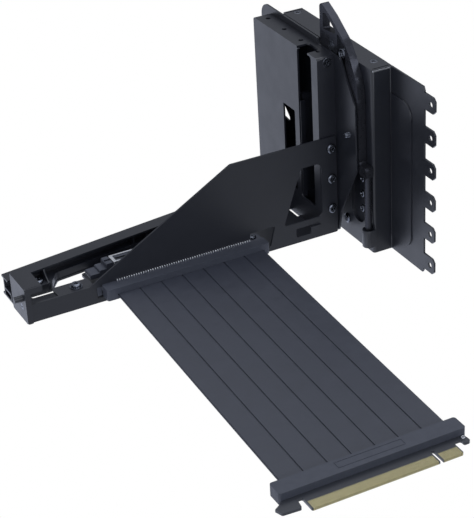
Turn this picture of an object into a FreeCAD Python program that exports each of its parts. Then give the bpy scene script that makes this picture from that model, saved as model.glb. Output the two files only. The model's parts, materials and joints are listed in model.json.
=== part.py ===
"""Vertical graphics card mount: slotted case bracket, sliding card frame, riser and lock lever.

Frame: the origin is the centre of the row of six tab holes, on the back face of the tab plate.
+X points out through the back of the case, +Y along the back wall towards the box, +Z up.
"""
import FreeCAD
import Part
import Sketcher
import math
import os

DOC = FreeCAD.newDocument("CardMount")
SHEET = DOC.addObject("Spreadsheet::Sheet", "Sizes")
PIECES = []


class Size:
    """A length that carries both its value and the sheet expression that gives it."""

    def __init__(self, value, text):
        self.value = float(value)
        self.text = text

    def __add__(self, other):
        other = as_size(other)
        return Size(self.value + other.value, f"({self.text} + {other.text})")

    def __sub__(self, other):
        other = as_size(other)
        return Size(self.value - other.value, f"({self.text} - {other.text})")

    def __rsub__(self, other):
        return as_size(other) - self

    def __mul__(self, factor):
        factor = as_size(factor)
        return Size(self.value * factor.value, f"({self.text} * {factor.text})")

    def __truediv__(self, factor):
        factor = as_size(factor)
        return Size(self.value / factor.value, f"({self.text} / {factor.text})")

    def __neg__(self):
        return Size(-self.value, f"(0 - {self.text})")

    __radd__ = __add__
    __rmul__ = __mul__


def as_size(number):
    """Give a plain number the form of a Size."""
    if isinstance(number, Size):
        return number
    return Size(number, f"({float(number)})")


def size(name, value):
    """Write one driving dimension in the sheet and return it."""
    size.row += 1
    cell = f"A{size.row}"
    SHEET.set(cell, str(value))
    SHEET.setAlias(cell, name)
    return Size(value, f"Sizes.{name}")


size.row = 0


def bind(thing, path, value):
    """Tie one property of an object to its sheet expression."""
    thing.setExpression(path, as_size(value).text)


# Sheet stock and the row of six tabs that screws to the case
steel = size("steel_thickness", 1.2)
bend = size("outer_bend_radius", 1.7)
crease = size("inner_bend_radius", 0.5)
slot_pitch = size("expansion_slot_pitch", 20.32)
tab_count = 6
tab_hole = size("tab_hole_radius", 1.75)
tab_root = size("tab_root", 6.6)
tab_tip = size("tab_tip_reach", 4.4)
tab_half = size("tab_half_height", 5.0)
tab_chamfer = size("tab_chamfer", 2.0)
tab_margin = size("bracket_margin_past_tabs", 8.2)
half_height = slot_pitch * ((tab_count - 1) / 2) + tab_margin
wing_chamfer_in = size("wing_chamfer_width", 1.2)
wing_chamfer_down = size("wing_chamfer_height", 2.5)

# Box channel of the case bracket
box_depth = size("box_depth", 13.7)
box_near = size("box_near_wall", 41.8)
box_length = size("box_length", 105.0)
flange_slit = size("flange_slit", 0.9)
flange_taper = size("flange_taper", 4.6)

# Embossed panel of the wing
panel_near = size("panel_near_edge", 19.3)
panel_top = size("panel_top", 43.0)
panel_bottom = size("panel_bottom", -50.0)
panel_corner = size("panel_corner_radius", 9.0)
panel_rise = size("panel_rise", 0.8)

# Recess with its row of screws, and the rivet under it
recess_across = size("recess_centre", 59.3)
recess_radius = size("recess_radius", 8.0)
recess_top = size("recess_top", -10.9)
recess_bottom = size("recess_bottom", -44.9)
recess_depth = size("recess_depth", 2.0)
row_screw_across = size("row_screw_across", 56.9)
row_screw_middle = size("row_screw_middle", -25.8)
row_screw_pitch = size("row_screw_pitch", 9.9)
row_screw_head = size("row_screw_head_radius", 2.2)
rivet_across = size("rivet_across", 72.0)
rivet_up = size("rivet_from_bottom", 10.6) - half_height
rivet_radius = size("rivet_radius", 3.0)
rivet_rise = size("rivet_rise", 1.4)

# Card frame: slide plate and folded frame
plate_back = size("slide_plate_back", -19.0)
plate_top = size("slide_plate_top", 63.0)
plate_bottom = size("slide_plate_bottom", -55.2)
plate_far = size("slide_plate_far_end", 161.9)
plate_corner = size("slide_plate_corner_radius", 8.0)
rim_gap = size("slide_plate_rim_from_rod", 6.2)
rim_drop = size("slide_plate_rim_drop", 25.0)
shelf_end = size("slide_plate_shelf_from_pivot", 11.9)
sight_gap = size("sight_opening_from_cutout", 12.6)
sight_width = size("sight_opening_width", 11.4)
sight_height = size("sight_opening_height", 9.0)
frame_front = size("frame_front", -31.7)
frame_top = size("frame_top", 59.06)
frame_bottom = size("frame_bottom", -55.2)
frame_far = size("frame_far_side", 150.6)
post_near = size("post_near_side", 72.8)
arm_near = post_near - steel
post_width = size("post_width", 7.1)
gap_far = post_near + size("frame_gap_reach", 23.7)
neck_near = post_near + post_width + size("frame_neck_from_post", 4.0)
card_hole = size("card_hole_radius", 1.5)
card_hole_in = size("card_hole_inset", 6.3)
first_card_hole = size("first_card_hole", 143.3)
card_hole_count = 4
frame_neck = size("frame_neck", 3.3)
gap_low = size("frame_gap_low_end", -39.4)
guide_width = size("card_guide_width", 7.1)
guide_near = gap_far + size("card_guide_from_gap", 1.9)
guide_top = size("card_guide_top", 24.0)
guide_ledge = size("card_guide_ledge_height", 3.0)
cutout_near = gap_far + size("cutout_from_gap", 5.3)
cutout_far = cutout_near + size("cutout_width", 14.4)
cutout_top = size("cutout_top", 15.7)
cutout_bottom = size("cutout_bottom", -38.0)
relief_size = size("corner_relief", 5.5)
relief_top = size("corner_relief_top", -4.6)
relief_low = size("corner_relief_low", -15.0)

# Shoulder studs that carry the card frame in the slots of the box
stud_shoulder = size("stud_shoulder_radius", 4.0)
stud_neck = size("stud_neck_radius", 2.5)
stud_head = size("stud_head_radius", 4.5)
stud_head_height = size("stud_head_height", 1.5)
slide_clearance = size("slide_clearance", 0.05)
slide_travel_up = size("slide_travel_far", 15.0)
slide_travel_down = size("slide_travel_near", 10.0)
stud_near = post_near + size("stud_from_post", 15.2)
stud_across = (stud_near, stud_near + size("stud_spacing", 36.0))
stud_up = (size("stud_upper", 36.0), size("stud_lower", -36.0))

# Arm plate
arm_left = size("arm_left_end", -222.2)
arm_right = size("arm_right_end", -21.2)
arm_low = size("arm_low_edge", -55.4)
arm_rail = size("arm_rail_top", -43.8)
arm_top = size("arm_top", 8.6)
arm_slope_left = size("arm_slope_left", -184.0)
arm_slope_right = size("arm_slope_right", -91.2)
window_right = size("window_right", -31.4)
window_top = size("window_top", -6.6)
window_low = size("window_low", -41.8)
window_top_left = size("window_top_left", -45.2)
window_low_left = size("window_low_left", -58.0)
arm_screw_in = size("arm_screw_in", -24.8)
arm_screw_top = size("arm_screw_top", 1.4)
arm_screw_pitch = size("arm_screw_pitch", 19.85)
pan_head = size("pan_head_radius", 3.0)
pan_rise = size("pan_head_height", 1.9)
pan_shank = size("pan_shank_radius", 1.45)
notch_left = size("riser_notch_left", -180.0)
notch_right = size("riser_notch_right", -65.9)
notch_low = size("riser_notch_low", -52.4)
notch_top = size("riser_notch_top", -39.4)
notch_ear = size("riser_notch_ear_length", 15.0)
rail_left = arm_left + size("tray_flap_inset", 19.2)
rail_right = rail_left + size("tray_flap_length", 22.0)
rail_flap = size("tray_flap_width", 9.8)
clip_slot_left = size("clip_slot_left", -49.8)
clip_slot_right = size("clip_slot_right", -39.1)
clip_slot_top = size("clip_slot_top", -45.7)
clip_slot_low = size("clip_slot_low", -51.5)
clip_tongue = size("clip_tongue_length", 7.2)
clip_tongue_start = size("clip_tongue_overlap", 1.2)

# Tray
tray_left_back = post_near + size("tray_depth_at_free_end", 39.2)
tray_right_back = post_near + size("tray_depth_at_frame", 63.3)
tray_wall_top = size("tray_wall_top", -42.9)
tray_lip = size("tray_lip_width", 9.3)
tray_wall_inset = size("tray_wall_inset", 2.5)
ledge_top = size("tray_ledge_top", -49.5)
ledge_near = post_near + size("tray_ledge_from_arm", 25.4)
ledge_step = size("tray_ledge_step_from_end", 25.0)
ledge_back = size("tray_ledge_step_depth", 9.4)
ledge_slant = size("tray_ledge_step_slant", 6.5)
ledge_depth = size("tray_ledge_depth_at_frame", 9.5)
opening_left = arm_left + size("tray_opening_inset", 11.0)
opening_length = size("tray_opening_length", 37.2)
opening_slant = size("tray_opening_slant", 7.2)
opening_near = ledge_near - size("tray_opening_before_ledge", 3.2)
rib_thickness = size("tray_rib_thickness", 1.0)
ledge_screw_in = arm_left + size("ledge_screw_inset", 18.6)
ledge_screw_across = ledge_near + size("ledge_screw_from_step", 4.6)
seam_slot_width = size("seam_slot_width", 2.0)
seam_slot_near = post_near + size("seam_slot_from_arm", 26.7)
seam_slot_far = seam_slot_near + size("seam_slot_length", 12.2)

# End stop
stop_high = size("end_stop_top", -32.9)
stop_thickness = size("end_stop_thickness", 1.0)
stop_depth = size("end_stop_depth", 22.9)
stop_cap = size("end_stop_cap", 9.7)
stop_skirt = size("end_stop_skirt", 3.6)
stop_leg = size("end_stop_leg", 2.4)
peg_radius = size("end_peg_radius", 1.9)
peg_length = size("end_peg_length", 5.0)
peg_across = size("end_peg_from_near_side", 5.2)
peg_up = size("end_peg_height", -40.5)
end_screw_across = size("end_screw_from_near_side", 7.2)
end_screw_up = size("end_screw_height", -46.8)
end_screw_head = size("end_screw_head_radius", 2.2)

# Riser: board, slot and housings
board_thickness = size("board_thickness", 1.6)
board_top = size("riser_board_top", -52.25)
slot_left = size("slot_left", -162.3)
slot_length = size("slot_length", 89.0)
slot_centre = post_near + size("slot_centre_from_arm", 17.9)
board_back = slot_centre + size("riser_board_behind_slot", 12.3)
slot_width = size("slot_width", 8.5)
slot_top = size("slot_top", -40.9)
slot_shell = size("slot_shell_thickness", 0.4)
slot_groove = size("slot_groove_width", 1.9)
slot_groove_depth = size("slot_groove_depth", 8.0)
slot_key = size("slot_key_from_right", 11.5)
slot_key_width = size("slot_key_width", 1.5)
slot_end = size("slot_end_wall", 2.0)
latch_length = size("latch_length", 15.0)
latch_foot = size("latch_foot_radius", 2.3)
latch_head = size("latch_head_length", 4.5)
latch_step = size("latch_step_height", 3.0)
house_left = size("riser_housing_left", -177.0)
house_right = size("riser_housing_right", -72.5)
house_near = arm_near - size("riser_housing_reach", 8.4)
house_top = size("riser_housing_top", -44.2)
house_low = size("riser_housing_low", -51.2)
house_depth = size("riser_housing_depth", 18.0)
house_ear = size("riser_housing_ear_height", 6.0)
house_ear_length = size("riser_housing_ear_length", 9.4)
house_ear_depth = size("riser_housing_ear_depth", 8.2)
house_block = size("riser_housing_block_height", 3.2)
ribbon_count = 7
ribbon_pitch = size("ribbon_pitch", 13.52)
ribbon_gap = size("ribbon_gap", 0.1)
ribbon_top = size("ribbon_top", -48.0)
ribbon_thickness = size("ribbon_thickness", 1.0)
ribbon_left = size("ribbon_left_at_riser", -170.7)
ribbon_skew = size("ribbon_skew", -6.4)
ribbon_end = size("ribbon_end", -144.3)
plug_left = size("end_housing_left", -184.7)
plug_right = size("end_housing_right", -79.3)
plug_near = size("end_housing_near", -154.8)
plug_top = size("end_housing_top", -43.95)
plug_low = size("end_housing_low", -50.6)
edge_top = size("end_board_top", -48.05)
edge_bite = size("end_board_bite", 5.0)
edge_inset = size("end_board_inset", 1.5)
hook_reach = size("end_board_hook_reach", 3.2)
hook_depth = size("end_board_hook_depth", 8.8)
heel_reach = size("end_board_heel_reach", 4.5)
heel_depth = size("end_board_heel_depth", 6.1)
tongue_root = size("end_board_tongue_root", 2.9)
tongue_left = size("tongue_left", -174.0)
tongue_right = size("tongue_right", -88.8)
tongue_near = size("tongue_near", -167.5)
key_left = size("key_left", -102.6)
key_right = size("key_right", -100.7)
key_depth = size("key_depth", 9.3)

# Lock lever
lever_front = size("lever_front", -18.7)
lever_back = size("lever_back", -13.9)
pivot_across = size("pivot_across", 78.4)
pivot_up = size("pivot_up", 62.5)
pivot_radius = size("pivot_radius", 2.0)
ear_radius = size("ear_radius", 5.5)
loop_reach = size("lever_loop_reach", 13.1)
loop_rise = size("lever_loop_rise", 22.7)
loop_foot = size("lever_loop_foot", 4.0)
loop_rim = size("lever_loop_rim", 3.7)
crest_drop = size("lever_crest_drop", 5.0)
elbow_drop = size("lever_elbow_drop", 24.5)
hollow_near = size("lever_hollow_near", 15.6)
hollow_far = size("lever_hollow_far", 6.4)
hollow_top = size("lever_hollow_top", 10.4)
knuckle = size("lever_knuckle_height", 6.0)
rod_radius = size("rod_radius", 2.2)
rod_across = size("rod_across", 43.6)
rod_axis = size("rod_axis", -16.3)
rod_top = size("rod_top", -2.5)
clip_radius = size("clip_outer_radius", 3.6)
clip_top = size("clip_top", -42.5)
clip_low = size("clip_low", -53.7)
rod_end = clip_top + size("rod_end_clearance", 0.3)
bar_outer = size("lever_bar_outer_edge", 48.9)
bar_width = size("lever_bar_width", 5.5)
spring_radius = size("spring_radius", 2.6)
spring_wire = size("spring_wire_radius", 0.42)
spring_pitch = size("spring_pitch", 1.2)
spring_across = pivot_across - size("spring_from_pivot", 10.4)
spring_drop = size("spring_under_pivot", 1.5)
stud_tip_across = size("plate_stud_across", 57.1)
stud_tip_up = size("plate_stud_up", 15.1)
stud_tip_radius = size("plate_stud_radius", 1.7)
stud_tip_rise = size("plate_stud_rise", 2.6)

DOC.recompute()

PLANES = {"x": "YZ_Plane", "y": "XZ_Plane", "z": "XY_Plane"}


def round_corner(before, corner, after, radius):
    """Return where a corner's arc starts and ends, its centre and whether it turns left."""
    back = (before - corner).normalize()
    ahead = (after - corner).normalize()
    half = back.getAngle(ahead) / 2
    reach = radius / math.tan(half)
    middle = (back + ahead).normalize()
    centre = corner + middle * (radius / math.sin(half))
    left = (corner - before).cross(after - corner).z > 0
    return corner + back * reach, corner + ahead * reach, centre, left


def draw_outline(sketch, corners):
    """Draw a closed outline of (across, up, radius) corners, each tied to the sheet."""
    places = [[as_size(value) for value in corner] for corner in corners]
    points = [FreeCAD.Vector(place[0].value, place[1].value, 0) for place in places]
    count = len(points)
    entries, exits, arcs = [], [], {}
    for index in range(count):
        radius = places[index][2].value if len(places[index]) > 2 else 0
        if radius > 0:
            before, after = points[index - 1], points[(index + 1) % count]
            entry, leave, centre, left = round_corner(before, points[index], after, radius)
            arcs[index] = (centre, left)
        else:
            entry = leave = points[index]
        entries.append(entry)
        exits.append(leave)
    first = sketch.GeometryCount
    lines = [Part.LineSegment(exits[i], entries[(i + 1) % count]) for i in range(count)]
    sketch.addGeometry(lines)
    rules, ties = [], []
    for index in range(count):
        before, after = first + (index - 1) % count, first + index
        across, up = places[index][0], places[index][1]
        if index in arcs:
            centre, left = arcs[index]
            start, stop = (entries[index], exits[index]) if left else (exits[index], entries[index])
            start_angle = math.atan2(start.y - centre.y, start.x - centre.x)
            stop_angle = math.atan2(stop.y - centre.y, stop.x - centre.x)
            if stop_angle < start_angle:
                stop_angle += 2 * math.pi
            circle = Part.Circle(centre, FreeCAD.Vector(0, 0, 1), places[index][2].value)
            arc = sketch.addGeometry(Part.ArcOfCircle(circle, start_angle, stop_angle))
            tip = sketch.addGeometry(Part.Point(points[index]), True)
            entry_end, exit_end = (1, 2) if left else (2, 1)
            rules.append(Sketcher.Constraint("PointOnObject", tip, 1, before))
            rules.append(Sketcher.Constraint("PointOnObject", tip, 1, after))
            rules.append(Sketcher.Constraint("Tangent", before, 2, arc, entry_end))
            rules.append(Sketcher.Constraint("Tangent", after, 1, arc, exit_end))
            rules.append(Sketcher.Constraint("Radius", arc, places[index][2].value))
            ties.append((len(rules) - 1, places[index][2]))
            held, end = tip, 1
        else:
            rules.append(Sketcher.Constraint("Coincident", before, 2, after, 1))
            held, end = after, 1
        rules.append(Sketcher.Constraint("DistanceX", held, end, across.value))
        ties.append((len(rules) - 1, across))
        rules.append(Sketcher.Constraint("DistanceY", held, end, up.value))
        ties.append((len(rules) - 1, up))
    offset = sketch.ConstraintCount
    sketch.addConstraint(rules)
    for index, value in ties:
        bind(sketch, f"Constraints[{offset + index}]", value)


def draw_circle(sketch, across, up, radius):
    """Draw a circle tied to the sheet."""
    across, up, radius = as_size(across), as_size(up), as_size(radius)
    centre = FreeCAD.Vector(across.value, up.value, 0)
    ring = sketch.addGeometry(Part.Circle(centre, FreeCAD.Vector(0, 0, 1), radius.value))
    offset = sketch.ConstraintCount
    sketch.addConstraint([
        Sketcher.Constraint("DistanceX", ring, 3, across.value),
        Sketcher.Constraint("DistanceY", ring, 3, up.value),
        Sketcher.Constraint("Radius", ring, radius.value),
    ])
    bind(sketch, f"Constraints[{offset}]", across)
    bind(sketch, f"Constraints[{offset + 1}]", up)
    bind(sketch, f"Constraints[{offset + 2}]", radius)


class Piece:
    """One solid piece: a body whose pads and pockets lie square to the axes."""

    def __init__(self, label):
        self.body = DOC.addObject("PartDesign::Body", label)
        PIECES.append(self.body)

    def sketch(self, axis, place, loops):
        """Add a sketch square to an axis; a loop is a list of corners or a circle's three sizes."""
        sketch = self.body.newObject("Sketcher::SketchObject", "Outline")
        role = PLANES[axis]
        plane = next(f for f in self.body.Origin.OriginFeatures if f.Role == role)
        sketch.AttachmentSupport = [(plane, "")]
        sketch.MapMode = "FlatFace"
        height = -as_size(place) if axis == "y" else as_size(place)
        base = FreeCAD.Vector(0, 0, height.value)
        sketch.AttachmentOffset = FreeCAD.Placement(base, FreeCAD.Rotation())
        bind(sketch, "AttachmentOffset.Base.z", height)
        for loop in loops:
            if isinstance(loop, tuple):
                draw_circle(sketch, *loop)
            else:
                draw_outline(sketch, loop)
        return sketch

    def grow(self, kind, sketch, low, high):
        """Add one pad or pocket between two heights."""
        feature = self.body.newObject(kind, kind.split("::")[1])
        feature.Profile = sketch
        depth = as_size(high) - as_size(low)
        feature.Length = depth.value
        bind(feature, "Length", depth)
        sketch.Visibility = False
        self.body.Tip = feature
        return feature

    def add(self, axis, low, high, *loops):
        """Pad the loops from low to high along an axis."""
        start = high if axis == "y" else low
        return self.grow("PartDesign::Pad", self.sketch(axis, start, loops), low, high)

    def cut(self, axis, low, high, *loops):
        """Pocket the loops from low to high along an axis."""
        start = low if axis == "y" else high
        return self.grow("PartDesign::Pocket", self.sketch(axis, start, loops), low, high)


def box_loop(left, right, low, high, radius=0):
    """Corners of a rectangle, all with one radius."""
    return [(left, low, radius), (right, low, radius), (right, high, radius), (left, high, radius)]


ROTATIONS = {
    "x": FreeCAD.Rotation(FreeCAD.Vector(0, 1, 0), 90),
    "-x": FreeCAD.Rotation(FreeCAD.Vector(0, 1, 0), -90),
    "y": FreeCAD.Rotation(FreeCAD.Vector(1, 0, 0), -90),
    "-y": FreeCAD.Rotation(FreeCAD.Vector(1, 0, 0), 90),
    "z": FreeCAD.Rotation(),
    "-z": FreeCAD.Rotation(FreeCAD.Vector(1, 0, 0), 180),
}


def place_at(thing, spot, facing, along=0):
    """Stand a primitive at a spot, shifted along the direction that it faces."""
    thing.Placement = FreeCAD.Placement(FreeCAD.Vector(), ROTATIONS[facing])
    sign = -1 if facing.startswith("-") else 1
    for index, axis in enumerate("xyz"):
        value = as_size(spot[index])
        if facing.endswith(axis):
            value = value + as_size(along) * sign
        bind(thing, f"Placement.Base.{axis}", value)


def drum(spot, facing, along, radius, length, tip_radius=None):
    """A cylinder, or a cone when it has a tip radius, standing at a spot."""
    kind = "Part::Cylinder" if tip_radius is None else "Part::Cone"
    thing = DOC.addObject(kind, "Drum")
    if tip_radius is None:
        bind(thing, "Radius", radius)
    else:
        bind(thing, "Radius1", radius)
        bind(thing, "Radius2", tip_radius)
    bind(thing, "Height", length)
    place_at(thing, spot, facing, along)
    return thing


def fuse_all(label, things):
    """Join primitives into one piece of one or more solids."""
    joined = DOC.addObject("Part::MultiFuse", label)
    joined.Shapes = things
    joined.Refine = True
    PIECES.append(joined)
    return joined


def pan_screws(label, spots, facing, head, rise, shank, length):
    """Pan head screws: a drum with a bevelled crown and a shank behind the seat."""
    things = []
    for spot in spots:
        things.append(drum(spot, facing, 0, head, rise * 0.6))
        things.append(drum(spot, facing, rise * 0.6, head, rise * 0.4, head * 0.66))
        things.append(drum(spot, facing, -as_size(length), shank, length))
    return fuse_all(label, things)


def flush_screws(label, spots, facing, head, sink, shank, length):
    """Countersunk screws whose heads end level with the seat."""
    things = []
    for spot in spots:
        things.append(drum(spot, facing, -sink, shank, sink, head))
        things.append(drum(spot, facing, -as_size(length), shank, length - sink))
    return fuse_all(label, things)


# Case bracket: one folded sheet with a box channel, a wing and six screw tabs
wing_front = -steel
box_front = -box_depth
box_inside = box_front + steel
box_far = box_near + box_length
flange_under = half_height - steel
bracket = Piece("case_bracket")
bracket.add("z", -half_height, half_height, [
    (box_front, box_far, bend), (box_front, box_near, bend),
    (wing_front, box_near, crease), (wing_front, tab_root),
    (0, tab_root), (0, box_near + steel, bend),
    (box_inside, box_near + steel, crease), (box_inside, box_far - steel, crease),
    (0, box_far - steel), (0, box_far),
])
flange_near = box_near + steel + flange_slit
for low, high in ((flange_under, half_height), (-half_height, -flange_under)):
    bracket.add("z", low, high, [
        (box_inside - steel / 2, flange_near), (0, flange_near + flange_taper),
        (0, box_far - steel - flange_slit), (box_inside - steel / 2, box_far - steel - flange_slit),
    ])
tab_middle = -slot_pitch * ((tab_count - 1) / 2)
tab = bracket.add("x", wing_front, 0, [
    (tab_root + steel, tab_middle - tab_half), (-tab_tip + tab_chamfer, tab_middle - tab_half),
    (-tab_tip, tab_middle - tab_half + tab_chamfer), (-tab_tip, tab_middle + tab_half - tab_chamfer),
    (-tab_tip + tab_chamfer, tab_middle + tab_half), (tab_root + steel, tab_middle + tab_half),
])
tab_bore = bracket.cut("x", wing_front, 0, (0, tab_middle, tab_hole))
tabs = bracket.body.newObject("PartDesign::LinearPattern", "Tabs")
tabs.Originals = [tab, tab_bore]
tabs.Direction = (next(f for f in bracket.body.Origin.OriginFeatures if f.Role == "Z_Axis"), [""])
tabs.Occurrences = tab_count
bind(tabs, "Length", slot_pitch * (tab_count - 1))
bracket.body.Tip = tabs
for side in (1, -1):
    bracket.cut("x", wing_front, 0, [
        (tab_root, half_height * side), (tab_root + wing_chamfer_in, half_height * side),
        (tab_root, (half_height - wing_chamfer_down) * side),
    ])
panel_far = box_near - steel
panel_raised = bracket.add("x", wing_front - panel_rise, wing_front, [
    (panel_near, panel_bottom, panel_corner), (panel_far, panel_bottom),
    (panel_far, panel_top), (panel_near, panel_top, panel_corner),
])
bracket.cut("x", wing_front + steel - panel_rise, 0, [
    (panel_near + panel_rise, panel_bottom + panel_rise, panel_corner - panel_rise),
    (panel_far - panel_rise, panel_bottom + panel_rise),
    (panel_far - panel_rise, panel_top - panel_rise),
    (panel_near + panel_rise, panel_top - panel_rise, panel_corner - panel_rise),
])
recess_low = recess_bottom
recess_floor = box_front + recess_depth


def stadium(across, low, high, radius):
    """Corners of an upright slot with nearly round ends."""
    return box_loop(across - radius, across + radius, low, high, radius * 0.98)


bracket.add("x", box_inside, recess_floor + steel,
            stadium(recess_across, recess_low - steel, recess_top + steel, recess_radius + steel))
bracket.cut("x", box_front, recess_floor, stadium(recess_across, recess_low, recess_top, recess_radius))
row_screw_spots = [(recess_floor, row_screw_across, row_screw_middle + row_screw_pitch * step)
                   for step in (-1, 0, 1)]
bracket.cut("x", recess_floor, recess_floor + steel,
            *[(spot[1], spot[2], pan_shank) for spot in row_screw_spots])
bracket.cut("x", box_front, box_inside, (rivet_across, rivet_up, pan_shank))
stud_spots = [(plate_back, across, up) for across in stud_across for up in stud_up]
slot_half = stud_neck + slide_clearance
bracket.cut("x", box_front, box_inside, *[
    box_loop(across - slide_travel_down - slot_half, across + slide_travel_up + slot_half,
             up - slot_half, up + slot_half, slot_half * 0.98)
    for across in stud_across for up in stud_up])
clip_wall = clip_radius - steel
bracket.add("z", clip_low, clip_top, [
    (box_front + steel / 2, rod_across - clip_radius),
    (rod_axis - clip_radius, rod_across - clip_radius, clip_radius * 0.95),
    (rod_axis - clip_radius, rod_across + clip_radius, clip_radius * 0.95),
    (box_front + steel / 2, rod_across + clip_radius),
    (box_front + steel / 2, rod_across + clip_wall),
    (rod_axis - clip_wall, rod_across + clip_wall, clip_wall * 0.95),
    (rod_axis - clip_wall, rod_across - clip_wall, clip_wall * 0.95),
    (box_front + steel / 2, rod_across - clip_wall),
])
ear_low = half_height - bend - steel
bracket.add("x", box_front, box_inside, [
    (pivot_across - ear_radius, ear_low), (pivot_across + ear_radius, ear_low),
    (pivot_across + ear_radius, pivot_up + ear_radius, ear_radius * 0.95),
    (pivot_across - ear_radius, pivot_up + ear_radius, ear_radius * 0.95),
])
bracket.cut("x", box_front, box_inside, (pivot_across, pivot_up, pan_shank))
bracket.cut("z", relief_low, relief_top, [
    (box_front - steel, box_far - relief_size), (box_front + relief_size, box_far + steel),
    (box_front - steel, box_far + steel),
])
cover_screw_in = size("cover_screw_in", -5.7)
cover_screw_far = size("cover_screw_far", 143.4)
cover_screw_near = size("cover_screw_near", 53.0)
cover_screw_head = size("cover_screw_head_radius", 2.65)
cover_screw_sink = size("cover_screw_sink", 1.0)
cover_screw_length = size("cover_screw_length", 3.5)
cover_screw_across = (cover_screw_near, cover_screw_far - steel)
DOC.recompute()
for low, high in ((flange_under, half_height), (-half_height, -flange_under)):
    bracket.cut("z", low, high, *[(cover_screw_in, across, cover_screw_head)
                                  for across in cover_screw_across])

# Rear cover: a plate behind the box with ears under the flanges
cover_thickness = size("cover_thickness", 0.6)
cover_ear = size("cover_ear_half_width", 6.0)
cover_gap = size("cover_gap", 0.1)
cover = Piece("rear_cover")
cover.add("x", 0, cover_thickness, box_loop(box_near + steel, box_far, -half_height + steel / 2,
                                            half_height - steel / 2, 1.0))
ear_top = flange_under
for low, high in ((ear_top - steel, ear_top), (-ear_top, -ear_top + steel)):
    for across in cover_screw_across:
        near = across - cover_screw_head if across is cover_screw_across[1] else across - cover_ear / 2
        far = across + cover_screw_head if across is cover_screw_across[1] else across + cover_ear
        cover.add("z", low, high, [
            (cover_thickness / 2, near), (cover_thickness / 2, far),
            (cover_screw_in - cover_ear * 0.8, far), (cover_screw_in - cover_ear * 0.8, near),
        ])
    cover.cut("z", low, high, *[(cover_screw_in, across, pan_shank) for across in cover_screw_across])
for side, facing in ((1, "z"), (-1, "-z")):
    label = "cover_screws_top" if side == 1 else "cover_screws_low"
    flush_screws(label, [(cover_screw_in, across, half_height * side) for across in cover_screw_across],
                 facing, cover_screw_head - cover_gap, cover_screw_sink, pan_shank - cover_gap,
                 cover_screw_length)

# Small fasteners of the case bracket
pan_screws("row_screws", row_screw_spots, "-x", row_screw_head, pan_rise * 0.6,
           pan_shank - cover_gap, steel * 2)
pan_screws("guide_rivet", [(box_front, rivet_across, rivet_up)], "-x", rivet_radius, rivet_rise,
           pan_shank - cover_gap, steel * 1.5)
lever_sink = size("lever_screw_sink", 1.5)
lever_screw_head = size("lever_screw_head_radius", 3.4)
lever_seat = (lever_front + lever_sink, pivot_across, pivot_up)
journal = box_front - lever_front - lever_sink
fuse_all("lever_screw", [
    drum(lever_seat, "-x", 0, lever_screw_head, lever_sink * 0.8),
    drum(lever_seat, "-x", -journal, pivot_radius, journal),
    drum(lever_seat, "-x", -journal - steel * 1.4, pan_shank - cover_gap, steel * 1.4),
])

# Lock lever: a finger loop on a pivot, a curved bar and a round rod that drops into the clip
lever = Piece("lever")
loop_left = pivot_across + loop_reach
loop_top = pivot_up + loop_rise
bar_inner = bar_outer + bar_width
elbow_up = pivot_up - elbow_drop
lever.add("x", lever_front, lever_back, [
    (loop_left, pivot_up - loop_foot, 3.0), (loop_left, loop_top - 1.7, 2.5),
    (loop_left - 2.7, loop_top, 1.5), (pivot_across + 0.3, loop_top - crest_drop, 25.0),
    (pivot_across - 14.3, loop_top - crest_drop * 3, 20.0), (pivot_across - 20.6, pivot_up - 0.4, 20.0),
    (bar_outer + 1.7, elbow_up + 11.5, 15.0), (bar_outer, elbow_up, 20.0),
    (bar_outer, rod_top + 1.2, 1.5), (rod_across - rod_radius, rod_top + 0.6, 2.0),
    (rod_across - rod_radius, rod_top - knuckle, 1.0), (bar_outer - 1.0, rod_top - knuckle, 2.0),
    (bar_inner, rod_top + 1.5, 2.0), (bar_inner, elbow_up - 1.5, 15.0),
    (pivot_across - hollow_near, pivot_up - 6.5, 3.0), (pivot_across - hollow_near + 0.2, pivot_up + 4.0, 2.0),
    (pivot_across - hollow_far - 0.5, pivot_up + hollow_top, 1.0),
    (pivot_across - hollow_far, pivot_up - loop_foot, 3.0),
])
lever.cut("x", lever_front, lever_back, [
    (loop_left - loop_rim, loop_top - 15.4, 1.0), (loop_left - loop_rim, loop_top - 5.5, 1.2),
    (loop_left - loop_rim * 2, loop_top - 5.1, 1.5), (pivot_across - 5.2, pivot_up + hollow_top, 1.0),
    (pivot_across - 4.4, pivot_up + 8.7, 0.8),
])
lever.cut("x", lever_front, lever_back, (pivot_across, pivot_up, pivot_radius + slide_clearance))
lever.cut("x", lever_front, lever_front + lever_sink,
          (pivot_across, pivot_up, lever_screw_head + slide_clearance))
lever.add("z", rod_end, rod_top, (rod_axis, rod_across, rod_radius))

# Torsion spring in the hollow of the lever
coil_height = lever_back - lever_front - spring_wire * 2
coil = DOC.addObject("Part::Helix", "Coil")
bind(coil, "Radius", spring_radius)
bind(coil, "Pitch", spring_pitch)
bind(coil, "Height", coil_height)
wire = DOC.addObject("Part::Circle", "Wire")
wire.Placement = FreeCAD.Placement(FreeCAD.Vector(), ROTATIONS["-y"])
bind(wire, "Radius", spring_wire)
bind(wire, "Placement.Base.x", spring_radius)
spring = DOC.addObject("Part::Sweep", "lever_spring")
spring.Sections = [wire]
spring.Spine = (coil, [])
spring.Solid = True
spring.Frenet = True
place_at(spring, (lever_front + spring_wire, spring_across, pivot_up - spring_drop), "x")
PIECES.append(spring)

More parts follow.
